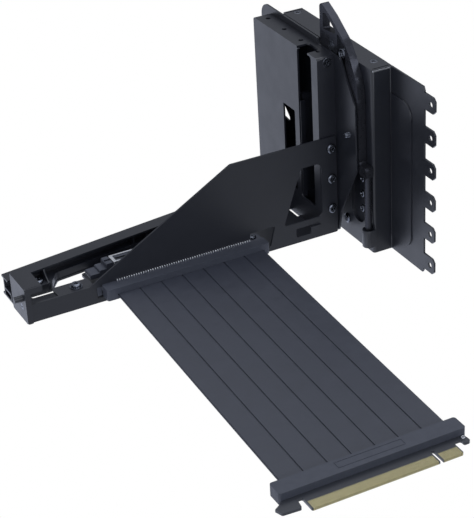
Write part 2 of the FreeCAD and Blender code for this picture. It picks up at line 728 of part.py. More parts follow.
# Slide plate: flat, with the long fin on top and the sloped corner under the lever
plate_front = plate_back - steel
plate = Piece("slide_plate")
plate_step = frame_top + slide_clearance * 4
plate.add("x", plate_front, plate_back, [
    (plate_far, plate_bottom, plate_corner), (plate_far, plate_top, plate_corner),
    (loop_left + 1.2, plate_top, 1.5), (loop_left - 0.5, plate_step, 0.5),
    (pivot_across - shelf_end, plate_step, 3.0), (rod_across + rim_gap + 0.7, plate_step - rim_drop, 6.0),
    (rod_across + rim_gap, recess_top + 5.0, 3.0), (post_near - 3.5, recess_bottom + 3.3, 3.0),
    (post_near - 0.6, plate_bottom, 1.0),
])
sight_near = cutout_far + sight_gap
sight_far = sight_near + sight_width
plate.cut("x", plate_front, plate_back, [
    (sight_near, relief_top + 0.8, 0.5), (sight_near + 1.9, relief_top - 1.2, 0.8),
    (sight_far, relief_top, 1.0), (sight_far, relief_top + sight_height, 1.0),
    (sight_far - 4.0, relief_top + sight_height - 1.4, 1.0),
])
plate.cut("x", plate_front, plate_back, (stud_tip_across, stud_tip_up, stud_tip_radius))
plate.add("x", plate_front - guide_width, plate_front, box_loop(
    guide_near, guide_near + steel, -guide_top * 1.57, guide_top))
plate.add("x", plate_front - guide_width - steel, plate_front, box_loop(
    guide_near - steel / 2, guide_near + steel * 2.5, guide_top, guide_top + guide_ledge))
plate_stud = (plate_front, stud_tip_across, stud_tip_up)
fuse_all("plate_stud", [
    drum(plate_stud, "-x", 0, stud_tip_radius, stud_tip_rise),
    drum(plate_stud, "-x", stud_tip_rise, stud_tip_radius, stud_tip_radius * 0.4, stud_tip_radius * 0.7),
    drum(plate_stud, "-x", -steel, stud_tip_radius, steel),
])

# Folded frame that takes the card's bracket
neck_in = frame_front + card_hole_in
frame = Piece("io_frame")
frame.add("x", frame_front, plate_front, box_loop(post_near, frame_far, frame_bottom, frame_top, bend))
frame.cut("x", frame_front + steel, plate_front, box_loop(
    post_near + steel, frame_far - steel, frame_bottom + steel, frame_top - steel, crease))
gap_near = post_near + post_width
frame.cut("x", frame_front, frame_front + steel, box_loop(
    gap_near, gap_far, gap_low, frame_top - steel, 2.0))
frame.add("x", frame_front + steel / 2, frame_front + steel * 3, box_loop(
    gap_far - steel, gap_far, gap_low, guide_top))
frame.cut("z", frame_top - steel, frame_top, [
    (frame_front, gap_far), (frame_front, neck_near), (plate_front - frame_neck, neck_near, 2.0),
    (plate_front - frame_neck, gap_far, 2.0),
])
frame.cut("x", frame_front, frame_front + steel, box_loop(
    cutout_near, cutout_far, cutout_bottom, cutout_top, 0.8))
frame.cut("z", frame_top - steel, frame_top, *[
    (neck_in, first_card_hole - slot_pitch * step, card_hole) for step in range(card_hole_count)])

# Studs that carry the slide plate in the slots of the box
stud_parts = []
for spot in stud_spots:
    shoulder_length = box_front - plate_back - slide_clearance
    neck_length = steel + slide_clearance * 2
    stud_parts.append(drum(spot, "x", -steel, stud_neck, steel))
    stud_parts.append(drum(spot, "x", 0, stud_shoulder, shoulder_length))
    stud_parts.append(drum(spot, "x", shoulder_length, stud_neck, neck_length))
    stud_parts.append(drum(spot, "x", shoulder_length + neck_length, stud_head, stud_head_height))
fuse_all("slide_studs", stud_parts)
plate.cut("x", plate_front, plate_back, *[(spot[1], spot[2], stud_neck) for spot in stud_spots])

# Arm plate with its sloped top, window and notch for the riser
arm = Piece("arm_plate")
arm.add("y", arm_near, post_near, [
    (arm_left, arm_low, 1.5), (arm_right, arm_low, 1.0), (arm_right, arm_top, 1.0),
    (arm_slope_right, arm_top, 2.0), (arm_slope_left, arm_rail, 6.0), (arm_left, arm_rail, 1.5),
])
arm.cut("y", arm_near, post_near, [
    (window_right, window_low, 2.5), (window_right, window_top, 4.0),
    (window_top_left, window_top, 3.0), (window_low_left, window_low, 1.5),
])
arm.cut("y", arm_near, post_near, [
    (notch_left, notch_low, 1.0), (notch_right - 1.5, notch_low, 1.0), (notch_right + 2.0, notch_top, 1.0),
    (notch_right - notch_ear, notch_top, 1.0), (notch_right - notch_ear, house_top - steel, 0.5),
    (notch_left, house_top - steel, 0.5),
])
arm.cut("y", arm_near, post_near, box_loop(
    clip_slot_left, clip_slot_right, clip_slot_low, clip_slot_top, 1.0))
arm.add("y", arm_near - steel, arm_near, box_loop(
    clip_slot_right - clip_tongue_start, clip_slot_right - clip_tongue_start + clip_tongue,
    clip_slot_low + 1.4, clip_slot_top - 0.8, 0.6))
arm.add("z", arm_rail - steel, arm_rail, [
    (rail_left, arm_near + steel / 2), (rail_left, post_near + rail_flap, 2.0),
    (rail_right, post_near + rail_flap, 2.0), (rail_right, arm_near + steel / 2),
])
tray_screw_in = rail_left + size("tray_screw_inset", 12.8)
tray_screw_across = post_near + size("tray_screw_from_arm", 4.2)
arm.cut("z", arm_rail - steel, arm_rail, (tray_screw_in, tray_screw_across, pan_shank))
arm_screw_spots = [(arm_screw_in, arm_near, arm_screw_top - arm_screw_pitch * step) for step in range(3)]
arm.cut("y", arm_near, post_near, *[(spot[0], spot[2], pan_shank) for spot in arm_screw_spots])
frame.cut("y", post_near, post_near + steel, *[(spot[0], spot[2], pan_shank) for spot in arm_screw_spots])
pan_screws("arm_screws", arm_screw_spots, "-y", pan_head, pan_rise, pan_shank - cover_gap, steel * 3)
post_screw_up = size("post_screw_up", 55.4)
frame.cut("y", post_near, post_near + steel, (arm_screw_in, post_screw_up, pan_head))
flush_screws("post_screw", [(arm_screw_in, post_near, post_screw_up)], "-y",
             pan_head - cover_gap, steel, pan_shank, steel * 3)

# Tray: floor, sloped back wall with its lip, inner ledge and ribs
tray_right = frame_front
tray = Piece("tray")
floor_top = arm_low + steel


def tray_edge(shift):
    """The two ends of the tray's sloped back edge, shifted towards the front."""
    return ((arm_left, tray_left_back - shift), (tray_right, tray_right_back - shift))


def tray_band(outer, inner):
    """Corners of a band along the tray's back edge between two shifts."""
    return [tray_edge(outer)[0], tray_edge(inner)[0], tray_edge(inner)[1], tray_edge(outer)[1]]


def ledge_line(shift):
    """The front line of the ledge from the free end to the frame, shifted towards the back."""
    return [
        (arm_left, ledge_near + shift), (arm_left + ledge_step, ledge_near + shift, 4.0),
        (arm_left + ledge_step + ledge_slant, ledge_near + ledge_back + shift, 4.0),
        (tray_right, tray_right_back - ledge_depth + shift),
    ]


tray.add("z", arm_low, floor_top, [
    (arm_left, post_near), (tray_right, post_near), tray_edge(0)[1], tray_edge(0)[0]])
tray.add("z", floor_top - steel / 2, tray_wall_top, tray_band(tray_wall_inset, tray_wall_inset + steel))
tray.add("z", tray_wall_top - steel, tray_wall_top, tray_band(0, tray_lip))
wall_inside = tray_edge(tray_wall_inset + steel / 2)
tray.add("z", ledge_top - steel, ledge_top, ledge_line(0) + [wall_inside[1], wall_inside[0]])
tray.add("z", floor_top - steel / 2, ledge_top, ledge_line(0) + ledge_line(rib_thickness)[::-1])
tray_slope = (tray_right_back - tray_left_back) / (tray_right - arm_left)
for inset, foot in ((size("rib_first", 23.2), -7.5), (size("rib_second", 84.3), 1.0),
                    (size("rib_third", 93.4), 1.0)):
    rib_left = arm_left + inset
    rib_far = tray_left_back - tray_wall_inset - steel / 2 + tray_slope * inset
    rib_near = tray_left_back - tray_lip + 0.5 + tray_slope * inset
    tray.add("x", rib_left, rib_left + rib_thickness, [
        (rib_far, ledge_top - steel / 2), (rib_far, tray_wall_top - steel / 2),
        (rib_near, tray_wall_top - steel / 2), (rib_near + foot, ledge_top - steel / 2)])
opening_right = opening_left + opening_length
opening_step = ledge_near - 0.1
opening_far = ledge_near + ledge_back
tray.cut("z", arm_low, floor_top, [
    (opening_left, opening_near, 1.5), (opening_right, opening_near, 1.5),
    (opening_right + opening_slant, opening_far + 2.2, 1.5), (opening_left + 21.0, opening_far - 0.4, 3.0),
    (opening_left + 14.0, opening_step, 2.0), (opening_left, opening_step, 1.5)])
tray.cut("z", arm_low, floor_top, box_loop(
    tray_right - seam_slot_width * 1.1, tray_right - 0.1, seam_slot_near, seam_slot_far, 0.8))
tray.cut("z", ledge_top - steel, ledge_top, (ledge_screw_in, ledge_screw_across, pan_shank))
pan_screws("tray_screw", [(tray_screw_in, tray_screw_across, arm_rail)], "z", pan_head, pan_rise,
           pan_shank - cover_gap, floor_top - arm_rail + steel * 10)
pan_screws("ledge_screw", [(ledge_screw_in, ledge_screw_across, ledge_top)], "z", pan_head, pan_rise,
           pan_shank - cover_gap, steel * 2)

# End stop: a folded cap over the free end of the tray
stop = Piece("end_stop")
stop_left = arm_left - stop_thickness
stop_near = arm_near - stop_thickness
stop_far = stop_near + stop_depth
stop.add("x", stop_left, arm_left, box_loop(stop_near, stop_far, arm_low, stop_high, 1.0))
stop.add("z", stop_high - stop_thickness, stop_high, [
    (arm_left - stop_thickness / 2, stop_near + 1.0), (arm_left + stop_cap, stop_near + 1.0, 1.0),
    (arm_left + stop_cap, stop_far, 1.0), (arm_left - stop_thickness / 2, stop_far)])
stop.add("y", stop_near, arm_near, [
    (arm_left - stop_thickness / 2, arm_low), (arm_left + stop_leg, arm_low, 0.8),
    (arm_left + stop_leg, stop_high - stop_skirt, 0.8), (arm_left + stop_cap, stop_high - stop_skirt, 0.8),
    (arm_left + stop_cap, stop_high - 0.1), (arm_left - stop_thickness / 2, stop_high - 0.1)])
end_screw_spot = (stop_left, stop_near + end_screw_across, end_screw_up)
stop.cut("x", stop_left, arm_left, (end_screw_spot[1], end_screw_spot[2], end_screw_head))
stop.add("x", stop_left - peg_length, arm_left, (stop_near + peg_across, peg_up, peg_radius))
flush_screws("end_screw", [end_screw_spot], "-x", end_screw_head - cover_gap, stop_thickness,
             pan_shank - cover_gap, stop_thickness * 4)

# Riser board with the slot and its steel shell
board = Piece("riser_board")
board_low = board_top - board_thickness
house_back = house_near + house_depth
board.add("z", board_low, board_top, box_loop(
    house_left, house_right, house_back - 4.0, board_back, 1.5))
slot_right = slot_left + slot_length
slot_near = slot_centre - slot_width / 2
slot_far = slot_centre + slot_width / 2
slot = Piece("x16_slot")
slot.add("z", board_top, slot_top - slot_shell, box_loop(
    slot_left + slot_shell, slot_right - slot_shell, slot_near + slot_shell, slot_far - slot_shell))
key_middle = slot_right - slot_key
for left, right in ((slot_left + slot_end, key_middle - slot_key_width / 2),
                    (key_middle + slot_key_width / 2, slot_right - slot_end)):
    slot.cut("z", slot_top - slot_shell - slot_groove_depth, slot_top - slot_shell, box_loop(
        left, right, slot_centre - slot_groove / 2, slot_centre + slot_groove / 2))
shell = Piece("slot_shell")
shell.add("z", board_top, slot_top, box_loop(slot_left, slot_right, slot_near, slot_far, 0.6))
shell.cut("z", board_top, slot_top - slot_shell, box_loop(
    slot_left + slot_shell, slot_right - slot_shell, slot_near + slot_shell, slot_far - slot_shell))
shell.cut("z", slot_top - slot_shell, slot_top, box_loop(
    slot_left + slot_end, slot_right - slot_end, slot_near + 1.2, slot_far - 1.2))

# Latch at the slot's outer end
latch = Piece("slot_latch")
latch_gap = slide_clearance * 4
latch_right = slot_left - latch_gap
latch_pivot = board_top + latch_foot + slide_clearance * 6
latch_low = latch_pivot - latch_foot
latch_foot_right = latch_right - latch_foot * 0.3
latch_foot_left = latch_foot_right - latch_foot * 2
latch.add("y", slot_near, slot_far, [
    (latch_right - latch_length, latch_pivot + 1.4, 1.0), (latch_foot_left, latch_pivot + 1.4),
    (latch_foot_left, latch_low, latch_foot * 0.9), (latch_foot_right, latch_low, latch_foot * 0.9),
    (latch_foot_right, latch_pivot + 0.5), (latch_right, latch_pivot + 0.5),
    (latch_right, slot_top, 1.0), (latch_right - latch_head, slot_top, 1.0),
    (latch_right - latch_head, slot_top - latch_step),
    (latch_right - latch_head * 2, slot_top - latch_step, 0.8),
    (latch_right - latch_head * 2, slot_top - latch_step * 1.5),
    (latch_right - latch_length, slot_top - latch_step * 1.5, 1.0),
])
latch.cut("y", slot_centre - slot_groove / 2, slot_centre + slot_groove / 2, box_loop(
    latch_right - 4.0, latch_right, slot_top - 6.0, slot_top))

# Riser housing, ribbon strips and the plug
house = Piece("riser_housing")
house.add("z", house_low, house_top, box_loop(house_left, house_right, house_near, arm_near, 1.5))
house.add("z", board_top, board_top + house_block, box_loop(
    house_left + 1.0, house_right - 1.0, arm_near - 2.0, house_back))
ear_right = notch_right - 6.0
ear_near = post_near + 0.4
ear_spot = (ear_right - house_ear_length / 2, ear_near + 4.0, board_top + house_ear)
house.add("z", board_top + house_block - 0.2, board_top + house_ear, box_loop(
    ear_right - house_ear_length, ear_right, ear_near, ear_near + house_ear_depth, 1.0))
house.cut("z", board_top + house_block, board_top + house_ear, (ear_spot[0], ear_spot[1], pan_shank))
pan_screws("riser_screw", [ear_spot], "z", end_screw_head, pan_rise * 0.8, pan_shank - cover_gap,
           house_ear - house_block)
house.cut("y", house_near, house_near + 3.0, box_loop(
    ribbon_left, ribbon_left + ribbon_pitch * ribbon_count, ribbon_top - ribbon_thickness, ribbon_top))
for index in range(ribbon_count):
    strip = Piece(f"ribbon_strip_{index + 1}")
    left = ribbon_left + ribbon_pitch * index + ribbon_gap / 2
    right = ribbon_left + ribbon_pitch * (index + 1) - ribbon_gap / 2
    strip.add("z", ribbon_top - ribbon_thickness, ribbon_top, [
        (left, house_near), (left + ribbon_skew, ribbon_end),
        (right + ribbon_skew, ribbon_end), (right, house_near)])
plug = Piece("end_housing")
plug.add("z", plug_low, plug_top, box_loop(plug_left, plug_right, plug_near, ribbon_end, 1.5))
plug.cut("y", plug_near, plug_near + edge_bite, box_loop(
    plug_left + edge_inset, plug_right - edge_inset, edge_top - board_thickness, edge_top))
edge = Piece("end_board")
edge_left = plug_left + edge_inset
edge_right = plug_right - edge_inset
root_near = plug_near - tongue_root
edge.add("z", edge_top - board_thickness, edge_top, [
    (edge_left, plug_near + edge_bite), (edge_left, plug_near - 0.3),
    (plug_left - hook_reach - 1.5, plug_near - hook_depth + 4.5),
    (plug_left - hook_reach, plug_near - hook_depth, 1.0), (tongue_left - 3.7, plug_near - hook_depth - 0.7, 1.0),
    (tongue_left - 2.6, root_near, 0.8), (tongue_left, root_near, 0.8),
    (tongue_left, tongue_near, 1.0), (key_left, tongue_near),
    (key_left, tongue_near + key_depth, 0.9), (key_right, tongue_near + key_depth, 0.9),
    (key_right, tongue_near), (tongue_right, tongue_near, 1.0),
    (tongue_right, root_near, 1.0), (tongue_right + heel_reach, root_near, 1.0),
    (tongue_right + heel_reach, plug_near - heel_depth, 1.0), (plug_right - 0.8, plug_near - heel_depth, 1.5),
    (edge_right, plug_near - 0.3), (edge_right, plug_near + edge_bite),
])

DOC.recompute()


def check_document():
    """Stop on any failed feature, empty pocket or invalid piece."""
    for thing in DOC.Objects:
        if "Invalid" in thing.State or "Error" in thing.State:
            raise RuntimeError(f"{thing.Label} failed: {thing.State} {thing.getStatusString()}")
        if thing.TypeId == "PartDesign::Pocket" and thing.BaseFeature is not None:
            if thing.Shape.Volume > thing.BaseFeature.Shape.Volume - 0.01:
                raise RuntimeError(f"{thing.Label} of {thing.getParentGeoFeatureGroup().Label} cuts nothing")
    for piece in PIECES:
        if piece.Shape.isNull() or not piece.Shape.isValid():
            raise RuntimeError(f"{piece.Label} has no valid shape")


check_document()
os.makedirs("parts", exist_ok=True)
for piece in PIECES:
    piece.Shape.exportStep(os.path.join("parts", f"{piece.Label}.step"))
    print(piece.Label, len(piece.Shape.Solids), round(piece.Shape.Volume, 1))
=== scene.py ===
"""Studio picture of a vertical graphics card mount with its riser cable and lock lever.

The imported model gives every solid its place; this script adds finishes, fine details, light and camera.
Lengths in the named values are in millimetres and become metres where they are used.
"""
from __future__ import annotations

import json
import logging
import math
from dataclasses import dataclass
from enum import Enum
from typing import Any, ClassVar, Iterable, Protocol, Sequence

import bmesh
import bpy
from mathutils import Matrix, Vector

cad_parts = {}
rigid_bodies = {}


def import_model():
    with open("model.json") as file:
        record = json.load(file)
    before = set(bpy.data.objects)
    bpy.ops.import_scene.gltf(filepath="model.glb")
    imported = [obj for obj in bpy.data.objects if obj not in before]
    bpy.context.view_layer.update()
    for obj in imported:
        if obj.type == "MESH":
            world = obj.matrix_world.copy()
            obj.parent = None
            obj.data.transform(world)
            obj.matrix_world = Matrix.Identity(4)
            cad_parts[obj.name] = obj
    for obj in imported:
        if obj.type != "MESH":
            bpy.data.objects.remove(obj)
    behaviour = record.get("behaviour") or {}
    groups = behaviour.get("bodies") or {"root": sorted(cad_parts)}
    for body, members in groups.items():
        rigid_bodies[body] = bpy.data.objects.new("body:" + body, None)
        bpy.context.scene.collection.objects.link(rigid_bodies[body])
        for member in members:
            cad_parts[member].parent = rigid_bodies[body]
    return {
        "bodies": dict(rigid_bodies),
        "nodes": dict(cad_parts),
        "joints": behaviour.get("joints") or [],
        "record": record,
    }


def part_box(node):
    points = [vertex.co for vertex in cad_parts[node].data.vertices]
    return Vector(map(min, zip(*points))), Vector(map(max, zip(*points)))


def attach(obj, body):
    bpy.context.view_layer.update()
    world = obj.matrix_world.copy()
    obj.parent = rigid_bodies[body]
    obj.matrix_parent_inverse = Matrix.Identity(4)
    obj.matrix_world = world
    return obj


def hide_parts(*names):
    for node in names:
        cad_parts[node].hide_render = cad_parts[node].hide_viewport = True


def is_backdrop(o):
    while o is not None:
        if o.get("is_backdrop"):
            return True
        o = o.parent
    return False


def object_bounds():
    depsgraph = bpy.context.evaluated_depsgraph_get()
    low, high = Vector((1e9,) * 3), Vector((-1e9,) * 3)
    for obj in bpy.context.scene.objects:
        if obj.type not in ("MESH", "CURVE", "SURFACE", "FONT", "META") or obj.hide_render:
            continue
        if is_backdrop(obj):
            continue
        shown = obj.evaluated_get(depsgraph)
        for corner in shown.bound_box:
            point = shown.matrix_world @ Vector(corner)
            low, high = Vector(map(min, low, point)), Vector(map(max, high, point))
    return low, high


LOG = logging.getLogger("card_mount")
MM = 0.001
# A Mix node keeps its two colours and its mixed colour at these places.
MIX_COLOURS = (6, 7)
MIX_RESULT = 2

Spot = tuple[float, float, float]


class Body(str, Enum):
    """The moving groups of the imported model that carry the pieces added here."""

    CASE = "case_side"
    CARD = "card_side"


class Surface(str, Enum):
    """The finishes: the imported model's own slots first, then the two that only fine pieces use."""

    COATED = "coated_steel"
    LEVER = "lever_steel"
    SCREW = "screw_steel"
    BRIGHT = "bright_steel"
    PLASTIC = "black_plastic"
    BOARD = "circuit_board"
    RIBBON = "ribbon_jacket"
    SOLDER = "solder"
    GOLD = "gold"


class Facing(str, Enum):
    """The way that a piece faces: an axis, with a minus sign where it faces against it."""

    RIGHT = "x"
    LEFT = "-x"
    FRONT = "-y"
    UP = "z"
    DOWN = "-z"

    @property
    def way(self) -> Vector:
        """Give the unit vector of this way."""
        return Vector([float(letter == self.value[-1]) for letter in "xyz"]) * (-1 if self.value[0] == "-" else 1)

    @property
    def turn(self) -> Matrix:
        """Give the turn that stands a piece's own Z this way, as a 4 by 4 matrix."""
        return self.way.to_track_quat("Z", "Y").to_matrix().to_4x4()


@dataclass(frozen=True)
class View:
    """The photograph's camera: where it stands, how many degrees it is turned and how it frames."""

    place: Spot = (-486.8, -751.8, 463.26)
    azimuth: float = -27.29
    elevation: float = 31.52
    roll: float = -2.59
    focal_px: float = 1771.85
    centre_px: tuple[float, float] = (282.3, 319.25)
    frame_px: tuple[int, int] = (474, 518)
    sensor: float = 36.0
    far_clip: float = 20000.0


@dataclass(frozen=True)
class Panel:
    """One soft light panel, turned to the middle of the part."""

    name: str
    place: Spot
    side: float
    watts: float
    aim: Spot = (-80.0, 20.0, 0.0)


@dataclass(frozen=True)
class Glow:
    """One soft lobe of the light that comes from all round."""

    towards: Spot
    tightness: float
    strength: float


PANELS = (
    Panel("panel_top", (200.0, 300.0, 1500.0), 1500.0, 13.0),
    Panel("panel_front", (-500.0, -1500.0, 500.0), 1000.0, 7.5),
)

# The two tight lobes draw the bright lines along rounded edges; the wide ones carry the even tone of the faces.
GLOWS = (
    Glow((-0.39, 0.76, -0.52), 3.0, 0.85),
    Glow((0.39, 0.76, 0.52), 3.0, 0.26),
    Glow((-0.3, -0.6, 0.75), 2.0, 0.36),
    Glow((0.39, -0.82, 0.42), 60.0, 5.5),
    Glow((-0.74, -0.4, -0.5), 14.0, 0.9),
    Glow((0.0, 0.0, 1.0), 2.0, 0.45),
    Glow((0.0, -0.5, -1.0), 2.0, 0.85),
    Glow((-1.0, 0.0, 0.1), 3.0, 0.85),
    Glow((1.0, 0.0, 0.1), 3.0, 0.85),
)


@dataclass(frozen=True)
class Finish:
    """What one surface is made of and how it was made.

    The colour wanders between the two tones in soft patches, and so does the roughness. The stretch says how
    much each axis squeezes the grain: under 1 draws it out into lines along that axis.
    """

    name: str
    tones: tuple[str, str]
    tone_patch: float
    rough: tuple[float, float]
    rough_patch: float
    grain_pitch: float
    grain_depth: float
    stretch: Spot = (1.0, 1.0, 1.0)
    metallic: float = 0.0
    specular: float | None = None
    edge_tint: float | None = None


FINISHES = {
    # Folded sheet under a baked satin powder coat. Its coat has a texture of about 0.3 mm, which leaves the faces
    # near black and widens each highlight, with slow patches where it cured a little thicker.
    Surface.COATED: Finish(
        "steel_black_powder_coat", tones=("16181e", "1b1d24"), tone_patch=14.0,
        rough=(0.36, 0.42), rough_patch=9.0, grain_pitch=0.28, grain_depth=0.006),
    # Pressed steel, tumbled and plated with black nickel. The rounded rim mirrors the light while the flats stay
    # dark, and the 0.6 mm waviness of the pressing breaks up the mirror.
    Surface.LEVER: Finish(
        "steel_black_nickel_plate", tones=("333439", "3a3b41"), tone_patch=20.0,
        rough=(0.24, 0.34), rough_patch=3.0, grain_pitch=0.6, grain_depth=0.006, metallic=0.7, edge_tint=0.2),
    # Turned steel with a black oxide skin. It gives small sharp sparks on the recess and the rim of each head.
    Surface.SCREW: Finish(
        "steel_black_oxide", tones=("4a4d55", "7c8089"), tone_patch=1.5,
        rough=(0.16, 0.3), rough_patch=0.8, grain_pitch=0.2, grain_depth=0.004, metallic=1.0),
    # Rolled and drawn stainless strip. It is the pale metal of the part; the rolling lines run along it, some 6 mm
    # long and 0.3 mm apart, where the real ones are 0.05 mm apart and wouldn't show.
    Surface.BRIGHT: Finish(
        "stainless_drawn_strip", tones=("b9babd", "cfd0d2"), tone_patch=3.0,
        rough=(0.36, 0.46), rough_patch=2.0, grain_pitch=0.3, grain_depth=0.0015, stretch=(0.05, 1.0, 1.0),
        metallic=1.0),
    # Glass-filled nylon from a spark-eroded mould: a soft dark grey. The mould's texture of 0.1 mm is drawn at
    # 0.5 mm, and deeper in step, so that it shows.
    Surface.PLASTIC: Finish(
        "nylon_black_moulded", tones=("33363f", "3c3f48"), tone_patch=5.0,
        rough=(0.48, 0.58), rough_patch=4.0, grain_pitch=0.5, grain_depth=0.022, specular=0.35),
    # Glass-fibre board under screen-printed black solder mask: an even sheen over the 0.4 mm weave.
    Surface.BOARD: Finish(
        "board_black_solder_mask", tones=("24262b", "2b2d33"), tone_patch=2.0,
        rough=(0.35, 0.35), rough_patch=1.0, grain_pitch=0.4, grain_depth=0.005),
    # Soft cable jacket extruded lengthwise: a dark grey with faint lines along the cable. The die's lines are
    # 0.1 mm apart and are drawn at 0.5 mm so that they show.
    Surface.RIBBON: Finish(
        "ribbon_drawn_jacket", tones=("282b34", "2e313b"), tone_patch=10.0,
        rough=(0.42, 0.5), rough_patch=5.0, grain_pitch=0.5, grain_depth=0.02, stretch=(1.0, 0.03, 1.0)),
    # Tin solder that froze on the pins, with a fine frost: small white beads.
    Surface.SOLDER: Finish(
        "tin_solder_frozen", tones=("dfe1e6", "f0f1f4"), tone_patch=0.8,
        rough=(0.4, 0.55), rough_patch=0.6, grain_pitch=0.2, grain_depth=0.004, metallic=1.0),
    # Hard gold plated over copper: a pale yellow glint, a little uneven.
    Surface.GOLD: Finish(
        "gold_plated_contact", tones=("ccc18c", "d9ce9a"), tone_patch=1.5,
        rough=(0.22, 0.34), rough_patch=1.0, grain_pitch=0.2, grain_depth=0.003, metallic=1.0),
}


def linear(code: str) -> tuple[float, float, float, float]:
    """Turn an sRGB hex code into a linear colour.

    Args:
        code: Six hex digits, such as "1a1b1e".

    Returns:
        Red, green, blue and alpha, linear.
    """
    parts = []
    for start in (0, 2, 4):
        value = int(code[start:start + 2], 16) / 255
        parts.append(value / 12.92 if value <= 0.04045 else ((value + 0.055) / 1.055) ** 2.4)
    return (parts[0], parts[1], parts[2], 1.0)


def add_node(tree: bpy.types.NodeTree, kind: str, settings: dict[str, Any] | None = None,
             links: dict[str | int, bpy.types.NodeSocket] | None = None) -> bpy.types.Node:
    """Add a shader node with its settings, input values and links.

    Args:
        tree: The node tree that takes it.
        kind: The node's type without its "ShaderNode" prefix.
        settings: Attributes by name, or input values by socket name.
        links: Incoming sockets by input name or number.

    Returns:
        The new node.
    """
    node = tree.nodes.new(f"ShaderNode{kind}")
    for name, value in (settings or {}).items():
        if name in node.inputs:
            node.inputs[name].default_value = value
        else:
            setattr(node, name, value)
    for name, source in (links or {}).items():
        tree.links.new(source, node.inputs[name])
    return node


def smooth_line(points: Sequence[Sequence[float]], detail: int = 10) -> list[Vector]:
    """Read a smooth line back from a spline that is steered by a few points.

    Args:
        points: The spline's control points, in millimetres.
        detail: Steps between two control points.

    Returns:
        Points along the line, in metres.
    """
    data = bpy.data.curves.new("route", "CURVE")
    data.dimensions = "3D"
    spline = data.splines.new("NURBS")
    spline.points.add(len(points) - 1)
    for place, point in zip(spline.points, points):
        place.co = (*(Vector(point) * MM), 1.0)
    spline.order_u = 3
    spline.use_endpoint_u = True
    spline.resolution_u = detail
    holder = bpy.data.objects.new("route", data)
    mesh = bpy.data.meshes.new_from_object(holder)
    line = [vertex.co.copy() for vertex in mesh.vertices]
    bpy.data.objects.remove(holder)
    bpy.data.meshes.remove(mesh)
    bpy.data.curves.remove(data)
    return line


class Painter:
    """Makes each finish once as a procedural material and shares it."""

    # The strength of all grain; the noise that carries it; and the middle band of noise that patches use.
    BUMP = 0.6
    GRAIN_DETAIL = 3.0
    GRAIN_FALLOFF = 0.6
    PATCH_DETAIL = 2.0
    NOISE_BAND = (0.3, 0.7)

    def __init__(self) -> None:
        """Start with no material made."""
        self.made: dict[Surface, bpy.types.Material] = {}

    def material(self, surface: Surface) -> bpy.types.Material:
        """Give the material of a surface, and make it the first time.

        Args:
            surface: The surface that asks for it.

        Returns:
            The material.
        """
        if surface not in self.made:
            self.made[surface] = self.make(FINISHES[surface])
        return self.made[surface]

    def make(self, finish: Finish) -> bpy.types.Material:
        """Make the material of a finish.

        Args:
            finish: What it looks like.

        Returns:
            The material.
        """
        material = bpy.data.materials.new(finish.name)
        material.use_nodes = True
        tree = material.node_tree
        shader = tree.nodes["Principled BSDF"]
        place = add_node(tree, "TexCoord").outputs["Object"]
        self.lay_tones(tree, shader, place, finish)
        self.lay_gloss(tree, shader, place, finish)
        self.lay_grain(tree, shader, place, finish)
        return material

    def lay_tones(self, tree: bpy.types.NodeTree, shader: bpy.types.Node, place: bpy.types.NodeSocket,
                  finish: Finish) -> None:
        """Let the colour wander between the finish's two tones.

        Args:
            tree: The material's tree.
            shader: Its shader.
            place: The coordinates that the patches follow.
            finish: The finish.
        """
        patches = add_node(tree, "TexNoise", {"Scale": 1 / (finish.tone_patch * MM), "Detail": self.PATCH_DETAIL},
                           {"Vector": place})
        mix = add_node(tree, "Mix", {"data_type": "RGBA"}, {0: patches.outputs["Fac"]})
        for number, tone in zip(MIX_COLOURS, finish.tones):
            mix.inputs[number].default_value = linear(tone)
        tree.links.new(mix.outputs[MIX_RESULT], shader.inputs["Base Color"])

    def lay_gloss(self, tree: bpy.types.NodeTree, shader: bpy.types.Node, place: bpy.types.NodeSocket,
                  finish: Finish) -> None:
        """Set how the surface mirrors, and let its roughness wander where the finish has two values.

        Args:
            tree: The material's tree.
            shader: Its shader.
            place: The coordinates that the patches follow.
            finish: The finish.
        """
        shader.inputs["Metallic"].default_value = finish.metallic
        if finish.specular is not None:
            shader.inputs["Specular IOR Level"].default_value = finish.specular
        if finish.edge_tint is not None:
            shader.inputs["Specular Tint"].default_value = (*[finish.edge_tint] * 3, 1.0)
        smooth, rough = finish.rough
        if smooth == rough:
            shader.inputs["Roughness"].default_value = rough
            return
        patches = add_node(tree, "TexNoise", {"Scale": 1 / (finish.rough_patch * MM), "Detail": self.PATCH_DETAIL},
                           {"Vector": place})
        low, high = self.NOISE_BAND
        spread = add_node(tree, "MapRange", {"From Min": low, "From Max": high, "To Min": smooth, "To Max": rough},
                          {"Value": patches.outputs["Fac"]})
        tree.links.new(spread.outputs[0], shader.inputs["Roughness"])

    def lay_grain(self, tree: bpy.types.NodeTree, shader: bpy.types.Node, place: bpy.types.NodeSocket,
                  finish: Finish) -> None:
        """Give the surface its fine grain, drawn out along an axis where it was drawn or rolled.

        Args:
            tree: The material's tree.
            shader: Its shader.
            place: The coordinates that the grain follows.
            finish: The finish.
        """
        drawn = add_node(tree, "Mapping", {"Scale": finish.stretch}, {"Vector": place})
        noise = add_node(tree, "TexNoise", {"Scale": 1 / (finish.grain_pitch * MM), "Detail": self.GRAIN_DETAIL,
                                            "Roughness": self.GRAIN_FALLOFF}, {"Vector": drawn.outputs[0]})
        bump = add_node(tree, "Bump", {"Strength": self.BUMP, "Distance": finish.grain_depth * MM},
                        {"Height": noise.outputs["Fac"]})
        tree.links.new(bump.outputs[0], shader.inputs["Normal"])


